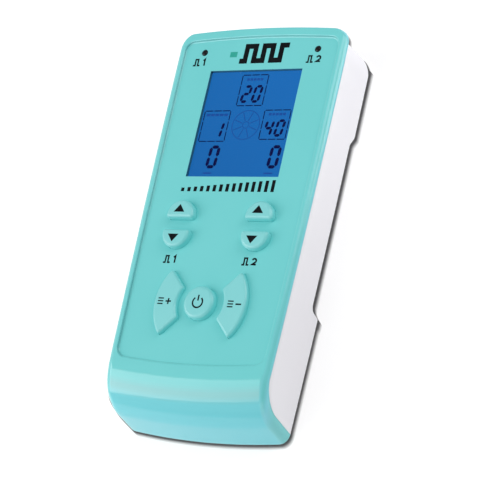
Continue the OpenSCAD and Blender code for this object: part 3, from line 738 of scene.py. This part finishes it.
def inward(points, inset):
    """Closed anticlockwise line moved inwards."""
    moved = []
    for k, point in enumerate(points):
        a, p, b = Vector(points[k - 1]), Vector(point), Vector(points[(k + 1) % len(points)])
        d0, d1 = (p - a).normalized(), (b - p).normalized()
        middle = Vector((-d0.y - d1.y, d0.x + d1.x)).normalized()
        lean = max(middle.dot(Vector((-d0.y, d0.x))), 0.7)
        moved.append(tuple(p + middle * (inset / lean)))
    return moved


def circle(radius, center_y):
    return [(radius * math.cos(2 * math.pi * k / 96),
             center_y + radius * math.sin(2 * math.pi * k / 96)) for k in range(96)]


# ------------------------------------------------------------------ front shell
def panel_recess():
    """Cutter for the sunken panel: rounded foot, sloping wall, rounded rim edge."""
    foot_inset, foot_round, rim_round = RIM + 0.25, 0.5, 0.3
    profile = []        # z, inset
    for k in range(7):
        a = math.pi / 2 * k / 6
        profile.append((PANEL_Z + foot_round * (1 - math.cos(a)),
                        foot_inset + foot_round * (1 - math.sin(a))))
    for k in range(6):
        a = math.pi / 2 * k / 5
        profile.append((FRONT_Z - rim_round + rim_round * math.sin(a) + 0.001,
                        foot_inset - 0.2 - rim_round * (1 - math.cos(a))))
    profile.append((FRONT_Z + 1.0, profile[-1][1]))
    levels = []
    for z, inset in profile:
        step = inset - RIM
        levels.append((z, outline(inset, NOSE_Y + 3.5 + step, 0.0, max(3.8 - step, 0.5),
                                  max(3.6 - step, 0.5))))
    return loft(levels)


def hood_hollow():
    """Cutter for the inside of the hood over the bottom end."""
    hollow = prism(outline(WALL, -LENGTH / 2 + 2), WALL, PANEL_INNER_Z - 0.1)
    radius = NOSE_RADIUS - WALL
    profile = [(NOSE_Y + 2, -3), (NOSE_Y + 2, PANEL_INNER_Z - 0.1)]     # y, z
    for k in range(11):
        a = math.radians(20 + 5 * k)
        profile.append((NOSE_Y - radius * math.sin(a),
                        FRONT_Z - NOSE_RADIUS + radius * math.cos(a) - 0.6))
    profile += [(NOSE_Y - radius * math.cos(DRAFT), FRONT_Z - NOSE_RADIUS + 1.8),
                (-LENGTH / 2 + WALL + 0.2, 0), (-LENGTH / 2 + WALL - 0.4, -3)]
    return csg(hollow, "INTERSECT", across(profile[::-1]))


def inner_plate(inset, setback, z0, z1):
    """Plate that fits inside the rear shell walls."""
    return prism(outline(inset, NOSE_Y + setback, top_corner=CORNER_REAR - inset), z0, z1)


def make_front():
    shell = loft(body_levels())
    csg(shell, "INTERSECT", across([(80, PARTING_Z), (80, 30), (-80, 30), (-80, -2)]
                                   + hood_line(0.0)[::-1]))
    plug = inner_plate(WALL + 0.1, 3, PANEL_INNER_Z, PARTING_Z + 0.2)
    lip = inner_plate(WALL + 0.1, 5, PANEL_INNER_Z - 0.8, PANEL_INNER_Z + 0.2)
    csg(lip, "DIFFERENCE",
        inner_plate(WALL + 0.9, 5.8, PANEL_INNER_Z - 1, PANEL_INNER_Z + 0.1),
        block(-40, 40, -22.5, -14.5, 0, 30))
    posts = [upright(2.8, side * SCREW_X, y, 12.1, PANEL_INNER_Z + 0.1)
             for side in SIDES for y in (SCREW_TOP_Y, SCREW_MID_Y)]
    csg(shell, "UNION", plug, lip, *posts)
    csg(shell, "DIFFERENCE", hood_hollow(), panel_recess())

    low, high = PANEL_INNER_Z - 1, FRONT_Z + 1
    cuts = [block(-DISPLAY_W / 2, DISPLAY_W / 2, DISPLAY_Y - DISPLAY_H / 2,
                  DISPLAY_Y + DISPLAY_H / 2, low, high)]
    for side in SIDES:
        cuts.append(upright(1.2, side * LED_X, LED_Y, low, high, 32))
        for up in (True, False):
            cuts.append(prism(d_key_outline(-KEY_CLEARANCE, up, side), low, high))
        ring = round_corners(program_key_outline(-KEY_CLEARANCE, side), PROGRAM_CORNERS)
        cuts.append(prism(ring, low, high))
        for y in (SCREW_TOP_Y, SCREW_MID_Y):
            cuts.append(upright(1.27, side * SCREW_X, y, 12, 17.4, 32))
    cuts.append(upright(POWER_RADIUS + KEY_CLEARANCE, 0, POWER_Y, low, high, 72))
    csg(shell, "DIFFERENCE", *cuts)
    return smooth(clean(shell))


front = finish_piece(make_front(), "front_shell_v", "housing", "teal_plastic",
                     cad="front_shell")

# ------------------------------------------------------------------ rear shell
# side view of the back plane: y, z
BACK_LINE = ((-80, 0.0), (-26.1, 0.0), (-25.3, BACK_MID_Z - 1.1), (-23.5, BACK_MID_Z),
             (33.4, BACK_MID_Z), (36.6, BACK_TOP_Z), (80, BACK_TOP_Z))
# runs of lengthwise stations: first y, step, count
BACK_STATIONS = ((-72, 2, 22), (-28, 0.25, 26), (-20, 2.5, 20), (31, 0.4, 20), (40, 2.5, 11),
                 (67.5, 0.25, 10), (71.0, 1, 1))
# posts on each side: radius, x, y, z from, z to
REAR_POSTS = (
    (3.4, SCREW_X, SCREW_TOP_Y, BACK_TOP_Z + 0.5, 12),
    (3.4, SCREW_X, SCREW_MID_Y, BACK_MID_Z + 0.5, 12),
    (2.4, 25.5, 47, BACK_TOP_Z + 0.5, 9),
    (2.4, 25.5, -6, BACK_MID_Z + 0.5, 9),
    (2.2, 20, -13.8, BACK_MID_Z + 0.5, 14.6),
    (2.2, 20, -47.5, 13.4, 14.6),
)
# screw recesses and holes on each side: radius, x, y, z from, z to, segments
REAR_HOLES = (
    (2.7, SCREW_X, SCREW_TOP_Y, -1, BACK_TOP_Z + 3.2, 48),
    (1.45, SCREW_X, SCREW_TOP_Y, 0, 15, 32),
    (2.7, SCREW_X, SCREW_MID_Y, -1, BACK_MID_Z + 3.2, 48),
    (1.45, SCREW_X, SCREW_MID_Y, 0, 15, 32),
    (1.02, 25.5, 47, 6, 10, 32),
    (1.02, 25.5, -6, 7.2, 10.2, 32),
    (1.02, 20, -13.8, 11.6, 15.6, 32),
    (1.02, 20, -47.5, 13.1, 15.6, 32),
)


def back_z(y):
    for (y0, z0), (y1, z1) in zip(BACK_LINE, BACK_LINE[1:]):
        if y0 <= y <= y1:
            return z0 + (z1 - z0) * (y - y0) / (y1 - y0)
    return 0.0


def soft_back_z(y):
    """Back plane averaged over 1.2 mm, which rounds its corners."""
    return sum(back_z(y + 0.6 * (2 * (k + 0.5) / 8 - 1)) for k in range(8)) / 8


def back_section():
    """Everything in front of the back plane, with rounded lengthwise edges."""
    stations = sorted({round(first + step * k, 3)
                       for first, step, count in BACK_STATIONS for k in range(count)})
    fillet, end_y, end_fillet = 0.6, 69.2, 0.7
    rings = []
    for y in stations:
        low = soft_back_z(y)
        if y > end_y:
            t = min((y - end_y) / end_fillet, 1.0)
            low += end_fillet * (1 - math.sqrt(max(1 - t * t, 0.0)))
        half = half_width(y) + 0.02
        ring = [(-half, y, 30.0)]
        for k in range(8):
            a = math.pi / 2 * k / 7
            ring.append((-half + fillet - fillet * math.cos(a), y,
                         low + fillet - fillet * math.sin(a)))
        for k in range(8):
            a = math.pi / 2 * k / 7
            ring.append((half - fillet + fillet * math.sin(a), y,
                         low + fillet - fillet * math.cos(a)))
        rings.append(ring + [(half, y, 30.0)])
    bm = bmesh.new()
    skin(bm, rings, flip=True)
    return to_object(bm)


def battery_bay():
    """Cutter for the bay, leaving one rib on the right and two on the left."""
    bay = block(-BAY_X, BAY_X, BAY_Y0, BAY_Y1, -1, 12.9)
    ribs = []
    for k in (-1, 0, 1):
        x0, x1 = (22.9, 30) if k == 0 else (-30, -22.9)
        y = (BAY_Y0 + BAY_Y1) / 2 + k * 10.9
        ribs.append(block(x0, x1, y - 3.4, y + 3.4, 3.4, 11.4))
    return csg(bay, "DIFFERENCE", *ribs)


def make_rear():
    shell = loft(body_levels(CORNER_REAR))
    region = across([(80, PARTING_Z - SHELL_GAP), (80, -2), (-64, -2)]
                    + hood_line(SHELL_GAP)[::-1])
    csg(shell, "INTERSECT", region, back_section())
    space = across([(80, 30), (80, BACK_TOP_Z + WALL), (37.6, BACK_TOP_Z + WALL),
                    (34.0, BACK_MID_Z + WALL), (-27.1, BACK_MID_Z + WALL), (-27.1, 14.2),
                    (NOSE_Y - 4, 14.2), (NOSE_Y - 4, 30)])
    inside = outline(WALL, -LENGTH / 2 + 2, top_corner=CORNER_REAR - WALL)
    csg(space, "INTERSECT", prism(inside, -1, 31))
    csg(shell, "DIFFERENCE", space)
    csg(shell, "UNION", *[upright(radius, side * x, y, z0, z1)
                          for side in SIDES for radius, x, y, z0, z1 in REAR_POSTS])
    cuts = [battery_bay(),
            block(-27.6, 27.6, -63.6, -3.6, -1, 1.75),          # opening of the battery door
            block(-28.6, 28.6, -63.6, -3.6, 0.65, 1.75)]        # grooves beside it
    cuts += [rod(3.15, (x, 60, 13.8), (x, 75, 13.8), 64) for x in (-11, 0, 11)]     # sockets
    for side in SIDES:
        cuts.append(block(side * 24.6 - 1.2, side * 24.6 + 1.2, -31.2, -30.2, 12.4, 15.4))
        cuts += [upright(radius, side * x, y, z0, z1, segments)
                 for radius, x, y, z0, z1, segments in REAR_HOLES]
    csg(shell, "DIFFERENCE", *cuts)
    return smooth(clean(shell))


rear = finish_piece(make_rear(), "rear_shell_v", "housing", "white_plastic", cad="rear_shell")


# ------------------------------------------------------------------ keys
def key_solid(inset_outline, flange, top, fillet, stem_x, stem_y):
    """Key with a filleted top edge, a flange behind the panel and a round stem."""
    seat = PANEL_INNER_Z - 0.1
    levels = [(seat, inset_outline(0.0))]
    for k in range(9):
        a = math.pi / 2 * k / 8
        levels.append((top - fillet + fillet * math.sin(a),
                       inset_outline(fillet * (1 - math.cos(a)))))
    key = csg(loft(levels), "UNION",
              prism(flange, PANEL_INNER_Z - 0.9, seat + 0.001),
              upright(1.6, stem_x, stem_y, STEM_FOOT_Z, PANEL_INNER_Z - 0.5))
    return clean(key, merge=0.001)


def flat_cap(part, top):
    """Puts one clean face over the flat top, without the tiny knots at its tips."""
    bm = bmesh.new()
    bm.from_mesh(part.data)

    def on_top(v):
        return abs(v.co.z / MM - top) < 0.003

    bmesh.ops.delete(bm, geom=[f for f in bm.faces if all(on_top(v) for v in f.verts)],
                     context="FACES_ONLY")
    bmesh.ops.delete(bm, geom=[e for e in bm.edges if not e.link_faces], context="EDGES")
    bmesh.ops.remove_doubles(bm, verts=[v for v in bm.verts if on_top(v)], dist=0.13 * MM)
    bmesh.ops.holes_fill(bm, edges=[e for e in bm.edges if len(e.link_faces) == 1], sides=0)
    bmesh.ops.recalc_face_normals(bm, faces=bm.faces)
    bm.to_mesh(part.data)
    bm.free()
    return part


def make_d_key(side, up):
    stem_y = d_key_center_y(up) + (1.2 if up else -1.2)
    return key_solid(lambda inset: d_key_outline(inset, up, side),
                     d_key_outline(-KEY_FLANGE, up, side), HIGH_KEY_TOP_Z, 1.15,
                     side * D_KEY_X, stem_y)


def make_program_key(side):
    ring = round_corners(program_key_outline(0.0, side), PROGRAM_CORNERS)
    key = key_solid(lambda inset: inward(ring, inset), program_key_outline(-KEY_FLANGE, side),
                    PROGRAM_TOP_Z, 0.9, side * PROGRAM_STEM_X, POWER_Y)
    return flat_cap(key, PROGRAM_TOP_Z)


def make_power_key():
    return key_solid(lambda inset: circle(POWER_RADIUS - inset, POWER_Y),
                     circle(POWER_RADIUS + KEY_FLANGE, POWER_Y), HIGH_KEY_TOP_Z, 1.25,
                     0, POWER_Y)


def finish_key(key, name):
    finish_piece(smooth(key), name + "_v", name, "key_plastic", cad=name)


SIDE_NAMES = ((-1, "left"), (1, "right"))
for side, side_name in SIDE_NAMES:
    finish_key(make_d_key(side, True), "key_up_" + side_name)
    finish_key(make_d_key(side, False), "key_down_" + side_name)
for side, side_name in SIDE_NAMES:
    finish_key(make_program_key(side), "key_program_" + side_name)
finish_key(make_power_key(), "key_power")

# ------------------------------------------------------------------ printed marks
PRINT_LIFT, INK_THICKNESS = 0.004, 0.02


def marks(name, patches, z, body, slot, material):
    """Thin raised patches of ink over the surface at z; each patch is an outline."""
    z += PRINT_LIFT
    bm = bmesh.new()
    for patch in patches:
        add_loft(bm, [(z, patch), (z + INK_THICKNESS, patch)])
    finish_piece(to_object(bm), name, body, slot, material)


def bar(x0, y0, x1, y1, width):
    length = math.hypot(x1 - x0, y1 - y0)
    nx, ny = -(y1 - y0) / length * width / 2, (x1 - x0) / length * width / 2
    return [(x0 - nx, y0 - ny), (x1 - nx, y1 - ny), (x1 + nx, y1 + ny), (x0 + nx, y0 + ny)]


def arc(x, y, radius, width, start, end):
    """Arc line; start and end are in degrees."""
    start, end = math.radians(start), math.radians(end)
    points = []
    for r, a0, a1 in ((radius + width / 2, start, end), (radius - width / 2, end, start)):
        for k in range(41):
            a = a0 + (a1 - a0) * k / 40
            points.append((x + r * math.cos(a), y + r * math.sin(a)))
    return points


def polyline(points, width):
    """Thick mitred line as one closed patch."""
    points = [Vector(p) for p in points]
    ways = [(b - a).normalized() for a, b in zip(points, points[1:])]
    normals = [Vector((-way.y, way.x)) for way in ways]
    left, right = [], []
    for k, p in enumerate(points):
        if k == 0:
            offset = normals[0] * width / 2
        elif k == len(points) - 1:
            offset = normals[-1] * width / 2
        else:
            middle = (normals[k - 1] + normals[k]).normalized()
            offset = middle * (width / 2 / max(middle.dot(normals[k - 1]), 0.3))
        left.append(tuple(p + offset))
        right.append(tuple(p - offset))
    return right + left[::-1]


def numeral(figure, x, y, height, width):
    """Plain drawn 1 or 2 with its lower left corner at x, y."""
    if figure == "1":
        stem_x = x + height * 0.24
        return polyline([(x, y + height * 0.74), (stem_x, y + height - width * 0.2),
                         (stem_x, y)], width)
    r = height * 0.27
    points = [(x + r + r * 1.05 * math.cos(math.radians(a)),
               y + height - r - width / 2 + r * math.sin(math.radians(a)))
              for a in (165, 140, 115, 90, 65, 40, 15, -10, -35)]
    points += [(x + 0.05 * height, y + width / 2 + 0.02), (x + height * 0.60, y + width / 2)]
    return polyline(points, width)


def pulse(x, y, height, width):
    """Single square pulse."""
    shape = ((0, 0), (0.35, 0), (0.35, 1), (0.8, 1), (0.8, 0), (1.15, 0))
    return polyline([(x + u * height, y + v * height) for u, v in shape], width)


PRINT_X = -0.543            # the panel print lies a little left of the middle
TRAIN_X, TRAIN_Y = -0.342, 60.538
# pulse train above the display, from its centre
TRAIN_LINE = ((-7.2, -2.6), (-5.0, -2.6), (-5.0, 2.9), (-1.6, 2.9), (-1.6, -2.6), (1.8, -2.6),
              (1.8, 2.9), (5.2, 2.9), (5.2, -2.6), (8.6, -2.6), (8.6, 2.9), (11.4, 2.9))
SCALE_Y, SCALE_BARS, SCALE_LENGTH = 9.955, 15, 34.8


def panel_patches():
    patches = []
    for side, figure in ((-1, "1"), (1, "2")):
        # below the LED, and below the D keys
        for x, y in ((side * 22.316 + PRINT_X, 56.682), (side * 15.205 + PRINT_X, -15.637)):
            patches.append(pulse(x - 3.1, y + 0.1, height=2.3, width=0.56))
            patches.append(numeral(figure, x + 0.75, y, height=2.6, width=0.6))
    patches.append(polyline([(TRAIN_X + x, TRAIN_Y + y) for x, y in TRAIN_LINE], 1.9))
    # rising scale below the display
    for k in range(SCALE_BARS):
        t = k / (SCALE_BARS - 1)
        x = PRINT_X + SCALE_LENGTH * (t - 0.5)
        patches.append(rectangle(x - 0.62, x + 0.62, SCALE_Y, SCALE_Y + 1.3 + 2.9 * t))
    return patches


def arrow(side, up):
    x = side * 15.18 - (0.3 if up else 0.45)
    y = 2.82 if up else -7.68
    turn = 1 if up else -1
    points = [(x - 2.1, y - turn * 1.32), (x + 2.1, y - turn * 1.32), (x, y + turn * 1.42)]
    return points if up else points[::-1]


def program_patches(side):
    """Three list lines, then a plus on the left key or a minus on the right key."""
    x, y = side * 13.4, POWER_Y
    patches = []
    for k in (-1, 0, 1):
        line_y = y + k * 0.95
        patches.append(bar(x - 2.5, line_y, x - 0.4, line_y, 0.42))
    if side > 0:
        return patches + [bar(x + 0.5, y, x + 2.6, y, 0.52)]
    w, a = 0.26, 1.05       # half the stroke and half the size of the plus
    plus = ((-a, -w), (-w, -w), (-w, -a), (w, -a), (w, -w), (a, -w),
            (a, w), (w, w), (w, a), (-w, a), (-w, w), (-a, w))
    return patches + [[(x + 1.55 + dx, y + dy) for dx, dy in plus]]


marks("panel_print", panel_patches(), PANEL_Z, "housing", "teal_plastic", "ink")
marks("panel_print_accent",
      [rectangle(TRAIN_X - 11.4, TRAIN_X - 8.6, TRAIN_Y - 1.0, TRAIN_Y + 1.0)],
      PANEL_Z, "housing", "teal_plastic", "accent_ink")
for side, side_name in SIDE_NAMES:
    for up in (True, False):
        key = ("key_up_" if up else "key_down_") + side_name
        marks(key + "_arrow", [arrow(side, up)], HIGH_KEY_TOP_Z, key, "key_plastic", "ink")
marks("key_power_mark", [arc(0, POWER_Y - 0.15, 1.85, 0.55, 130, 410),
                         bar(0, POWER_Y + 0.35, 0, POWER_Y + 2.35, 0.55)],
      HIGH_KEY_TOP_Z, "key_power", "key_plastic", "ink")
for side, side_name in SIDE_NAMES:
    key = "key_program_" + side_name
    marks(key + "_mark", program_patches(side), PROGRAM_TOP_Z, key, "key_plastic", "ink")

# ------------------------------------------------------------------ display figures
DISPLAY_Z = PANEL_Z - 1.1
# Segments are lettered clockwise from the top one, a to f, with g across the middle.
LIT_SEGMENTS = {"0": "abcdef", "1": "bc", "2": "abged", "4": "fgbc"}
# dashed boxes: x0, y0, x1, y1, rise and height of the figures, (figure, its x in the box)
DISPLAY_BOXES = (
    (-5.302, 41.735, 4.837, 53.129, 1.0, 6.6, (("2", 0.75), ("0", 5.0))),
    (-17.097, 28.685, -6.908, 39.928, 1.0, 6.4, (("1", 4.9),)),
    (6.494, 29.287, 16.583, 39.928, 0.9, 6.3, (("4", 0.75), ("0", 5.0))),
)
# lower left corners of the two large zeros
LARGE_ZEROS = ((-12.128, 18.747), (11.664, 18.747))
# unlit heading bars of the three boxes: x0, y, x1
HEADINGS = ((-3.495, 51.473, 3.131), (-16.344, 38.423, -7.611), (8.150, 38.423, 14.977))
# left ends of the unlit lines under the large zeros
UNDERLINES = ((-12.329, 17.040), (11.363, 17.040))
WHEEL_X, WHEEL_Y = 0.220, 34.608


def digit(figure, x, y, width, height, stroke, slant=0.14):
    """Patches of a seven-segment figure with its lower left corner at x, y."""
    gap, half = 0.12, stroke / 2
    x0, x1 = half, width - half
    y0, y1, y2 = half, height / 2, height - half
    ends = {"a": (x0, y2, x1, y2), "b": (x1, y1, x1, y2), "c": (x1, y0, x1, y1),
            "d": (x0, y0, x1, y0), "e": (x0, y0, x0, y1), "f": (x0, y1, x0, y2),
            "g": (x0, y1, x1, y1)}
    patches = []
    for letter in LIT_SEGMENTS[figure]:
        ax, ay, bx, by = ends[letter]
        if letter in "adg":
            points = [(ax + gap, ay), (ax + half + gap, ay - half), (bx - half - gap, by - half),
                      (bx - gap, by), (bx - half - gap, by + half), (ax + half + gap, ay + half)]
        else:
            points = [(ax, ay + gap), (ax + half, ay + half + gap), (bx + half, by - half - gap),
                      (bx, by - gap), (bx - half, by - half - gap), (ax - half, ay + half + gap)]
        patches.append([(x + px + slant * py, y + py) for px, py in points])
    return patches


def dashed_box(x0, y0, x1, y1):
    """Box with three dashes to a side, clear at the corners."""
    gap, dashes = 0.45, 3
    corners = ((x0, y0), (x1, y0), (x1, y1), (x0, y1), (x0, y0))
    patches = []
    for (ax, ay), (bx, by) in zip(corners, corners[1:]):
        length = math.hypot(bx - ax, by - ay)
        for k in range(dashes):
            t0 = (k * length / dashes + gap / 2) / length
            t1 = ((k + 1) * length / dashes - gap / 2) / length
            patches.append(bar(ax + (bx - ax) * t0, ay + (by - ay) * t0,
                               ax + (bx - ax) * t1, ay + (by - ay) * t1, 0.34))
    return patches


def lit_patches():
    patches = []
    for x0, y0, x1, y1, rise, height, figures in DISPLAY_BOXES:
        patches += dashed_box(x0, y0, x1, y1)
        for figure, x in figures:
            patches += digit(figure, x0 + x, y0 + rise, width=3.4, height=height, stroke=1.0)
    for x, y in LARGE_ZEROS:
        patches += digit("0", x, y, width=4.2, height=8.4, stroke=1.2, slant=0.06)
    return patches


def unlit_patches():
    # spoked wheel in the middle
    patches = [arc(WHEEL_X, WHEEL_Y, 5.3, 0.28, 0, 359.9),
               arc(WHEEL_X, WHEEL_Y, 1.2, 0.25, 0, 359.9)]
    for k in range(8):
        a = math.radians(22.5 + 45 * k)
        c, s = math.cos(a), math.sin(a)
        patches.append(bar(WHEEL_X + 1.6 * c, WHEEL_Y + 1.6 * s,
                           WHEEL_X + 4.9 * c, WHEEL_Y + 4.9 * s, 0.28))
    for x0, y, x1 in HEADINGS:
        pitch = (x1 - x0) / 5
        for k in range(5):
            patches.append(bar(x0 + k * pitch + 0.15, y, x0 + (k + 1) * pitch - 0.15, y, 0.9))
    for x, y in UNDERLINES:
        patches.append(bar(x, y, x + 3.4, y, 0.55))
    return patches


marks("display_figures", lit_patches(), DISPLAY_Z, "housing", "lcd_blue", "lcd_segment")
marks("display_faint_marks", unlit_patches(), DISPLAY_Z, "housing", "lcd_blue",
      "lcd_segment_faint")


# ------------------------------------------------------------------ floor and lights
def make_floor():
    """Pale paper sweep, evenly lit from within so that it stays near white."""
    floor = block(-1500, 1500, -1500, 1500, -20, -0.05)
    rename(floor, "floor")
    surface("floor", base=(0.52, 0.52, 0.522, 1), dark=(0.50, 0.50, 0.502, 1), rough=0.8,
            grain=400, bump=0.02, var_scale=4, spec=0.1)
    feed(*principled_of("floor"), {"Emission Color": (1, 1, 1, 1), "Emission Strength": 0.55})
    floor.data.materials.append(MATERIALS["floor"])


def make_world():
    world = bpy.data.worlds.new("studio")
    scene.world = world
    world.use_nodes = True
    feed(world.node_tree, world.node_tree.nodes["Background"],
         {"Color": (1.0, 1.0, 1.0, 1), "Strength": 0.30})


def pose(x_axis, y_axis, z_axis, origin):
    matrix = Matrix((x_axis, y_axis, z_axis)).transposed().to_4x4()
    matrix.translation = origin
    return matrix


def area_light(name, size, energy, size_y=None):
    light = bpy.data.lights.new(name, "AREA")
    light.shape = "RECTANGLE" if size_y else "SQUARE"
    light.size = size
    if size_y:
        light.size_y = size_y
    light.energy = energy
    lamp = bpy.data.objects.new(name, light)
    scene.collection.objects.link(lamp)
    return lamp


def aim(lamp, location, target):
    lamp.location = location
    way = Vector(target) - Vector(location)
    lamp.rotation_euler = way.to_track_quat("-Z", "Y").to_euler()


def make_key_light():
    """Broad softbox on the left whose reflection runs along the rounded bottom end."""
    nose = Vector((0, -0.0575, 0.020))
    away = Vector((-0.5945, -0.285, 0.7545)).normalized()
    up = Vector((0, 0.945, 0.327))
    y_axis = (up - away * away.dot(up)).normalized()
    lamp = area_light("key_soft", size=1.2, size_y=0.826, energy=7.6)
    lamp.matrix_world = pose(y_axis.cross(away), y_axis, away, nose + away * 0.9)
    # brighter towards one end
    lamp.data.use_nodes = True
    tree = lamp.data.node_tree
    place = separate(tree, node(tree, "NewGeometry").outputs["Parametric"])
    feed(tree, tree.nodes["Emission"],
         {"Strength": ramp(tree, place["X"], over=(0.30, 0.70), to=(1.7, 0.6))})


make_floor()
make_world()
make_key_light()
# locations and targets in metres
aim(area_light("top_soft", size=0.5, energy=2.1), location=(0.25, 0.55, 0.95),
    target=(0, 0.02, 0))
aim(area_light("front_soft", size=0.6, energy=1.15), location=(0.12, -0.8, 0.30),
    target=(0, -0.02, 0.01))
aim(area_light("side_fill", size=0.26, energy=0.98), location=(0.34, 0.28, 0.24),
    target=(0, 0.03, 0.01))

# ------------------------------------------------------------------ camera
VIEW_RIGHT = Vector((0.8514647571, 0.2120020885, -0.4796487066))
VIEW_DOWN = Vector((0.0219679372, -0.9282579400, -0.3712877679))
VIEW_AHEAD = Vector((-0.5239515026, 0.3056015565, -0.7950361700))
# the display centre on the rim plane, in the body's axes and in the camera's
VIEW_ORIGIN = Vector((0, DISPLAY_Y, FRONT_Z))
ORIGIN_SEEN = Vector((0.8864236465, -39.4203697555, 633.1508548362))
CAMERA_PLACE = -(VIEW_RIGHT * ORIGIN_SEEN.x + VIEW_DOWN * ORIGIN_SEEN.y
                 + VIEW_AHEAD * ORIGIN_SEEN.z) + VIEW_ORIGIN


def make_camera():
    camera_data = bpy.data.cameras.new("camera")
    camera_data.lens = 142.5
    camera_data.sensor_width = 36.0
    camera_data.clip_start = 0.01
    camera = bpy.data.objects.new("camera", camera_data)
    scene.collection.objects.link(camera)
    camera.matrix_world = pose(VIEW_RIGHT, -VIEW_DOWN, -VIEW_AHEAD, CAMERA_PLACE * MM)
    scene.camera = camera


make_camera()

# ------------------------------------------------------------------ contact shadow on the floor
SHADE_Z = -0.045


def floor_point(p):
    """Where the camera's line through p meets the floor."""
    way = Vector(p) - CAMERA_PLACE
    return CAMERA_PLACE + way * ((SHADE_Z - CAMERA_PLACE.z) / way.z)


def view_slopes(p):
    """Slopes of the camera's line to p, to the right and down, per unit ahead."""
    offset = Vector(p) - VIEW_ORIGIN
    ahead = VIEW_AHEAD.dot(offset) + ORIGIN_SEEN.z
    return ((VIEW_RIGHT.dot(offset) + ORIGIN_SEEN.x) / ahead,
            (VIEW_DOWN.dot(offset) + ORIGIN_SEEN.y) / ahead)


def under_top_corner(p):
    """Whether p is seen below the overhanging top right corner of the front shell."""
    right, down = view_slopes(p)
    return right > 0.0547368 and -0.1089474 < down < -0.1


def floor_hull(vertices):
    """Anticlockwise hull of the vertices carried to the floor along the view."""
    points = [floor_point(v.co / MM) for v in vertices]
    points = sorted({(round(p[0], 3), round(p[1], 3)) for p in points})

    def chain(sequence):
        kept = []
        for p in sequence:
            while len(kept) > 1 and ((kept[-1][0] - kept[-2][0]) * (p[1] - kept[-2][1])
                                     - (kept[-1][1] - kept[-2][1]) * (p[0] - kept[-2][0])) <= 0:
                kept.pop()
            kept.append(p)
        return kept[:-1]
    return chain(points) + chain(points[::-1])


def walk(ring, start, turn, size=1.0):
    """Evenly stepped floor points round the ring, from a start index, turn = 1 or -1."""
    ring = [Vector(ring[(start + turn * j) % len(ring)]) for j in range(len(ring))]
    points = []
    for p, q in zip(ring, ring[1:]):
        steps = max(int((q - p).length / size), 1)
        points += [p + (q - p) * j / steps for j in range(steps)]
    return [Vector((p.x, p.y, SHADE_Z)) for p in points]


def nearest(ring, point):
    return min(range(len(ring)), key=lambda k: (Vector(ring[k]) - point.xy).length)


def fade_shift():
    """Floor offset over which the shade fades, to the lower right as the camera sees it."""
    start = Vector((10, -30, 0))
    base = floor_point(start)
    right = floor_point(start + VIEW_RIGHT) - base
    down = floor_point(start + VIEW_DOWN) - base
    return right * 0.95 + down * 1.25


def add_ribbon(bm, layer, points, head, tail, strength=0.93, width=1.5):
    """Dark at the line and fading out sideways, eased in over head and out over tail points."""
    shift = fade_shift()
    steps, solid = 14, 0.18     # columns of the fade, and the share that stays dark
    rows = []
    for k, p in enumerate(points):
        ease = min(k / head, 1.0) * min((len(points) - 1 - k) / tail, 1.0)
        row = []
        for j in range(-6, steps + 1):
            t = j / steps
            vertex = bm.verts.new((p + shift * (t * width)) * MM)
            f = 1.0 if t <= solid else max(1.0 - (t - solid) / (1 - solid), 0.0)
            vertex[layer] = ease * f * f * (3 - 2 * f) * strength
            row.append(vertex)
        rows.append(row)
    for a, b in zip(rows, rows[1:]):
        for j in range(len(a) - 1):
            bm.faces.new((a[j], a[j + 1], b[j + 1], b[j]))


def shade_edge():
    """Floor line round the right and lower edges of the body, as the camera sees them."""
    side = []
    y = LENGTH / 2 - CORNER_REAR * 0.72
    while y > -28.5:
        side.append(floor_point((half_width(y), y, back_z(y))))
        y -= 1.0
    # top right corner of the rear shell
    ring = floor_hull(rear.data.vertices)
    corner = []
    for p in walk(ring, nearest(ring, side[0]), 1):
        if p.x < side[0].x - 16:
            break
        if p.y > side[0].y + 0.3:
            corner.append(p)
    # bottom end of both shells
    ring = floor_hull([v for shell in (front, rear) for v in shell.data.vertices
                       if v.co.y < -0.026])
    bottom = []
    for p in walk(ring, nearest(ring, side[-1]), -1):
        if p.x < 0 and p.y > -LENGTH / 2 + 14:
            break
        if p.y < side[-1].y - 0.3:
            bottom.append(p)
    return corner[::-1] + side + bottom


def shade_material():
    tree = new_material("floor_shade")
    tree.nodes.remove(tree.nodes["Principled BSDF"])
    shade = node(tree, "Attribute", attribute_name="shade").outputs["Fac"]
    clear = node(tree, "BsdfTransparent")
    dark = node(tree, "BsdfDiffuse", {"Color": (0.03, 0.03, 0.032, 1)})
    # the shadow belongs to the main view and fades out from other angles
    incoming = node(tree, "NewGeometry").outputs["Incoming"]
    near = ramp(tree, dot(tree, incoming, -VIEW_AHEAD), over=(0.955, 0.982))
    shader = node(tree, "MixShader", {"Fac": product(tree, shade, near),
                                      1: clear.outputs["BSDF"], 2: dark.outputs["BSDF"]})
    feed(tree, tree.nodes["Material Output"], {"Surface": shader.outputs["Shader"]})


def contact_shadow():
    ring = floor_hull(front.data.vertices)
    lowest = min(range(len(ring)), key=lambda k: ring[k][1])
    corner = [p for p in walk(ring, lowest, 1, size=0.5) if under_top_corner(p)]
    bm = bmesh.new()
    layer = bm.verts.layers.float.new("shade")
    add_ribbon(bm, layer, shade_edge(), head=10.0, tail=5.0)
    if len(corner) > 4:
        add_ribbon(bm, layer, corner, head=4.0, tail=5.0, strength=0.8, width=1.3)
    shadow = to_object(bm)
    rename(shadow, "floor_shade")
    shade_material()
    shadow.data.materials.append(MATERIALS["floor_shade"])


contact_shadow()
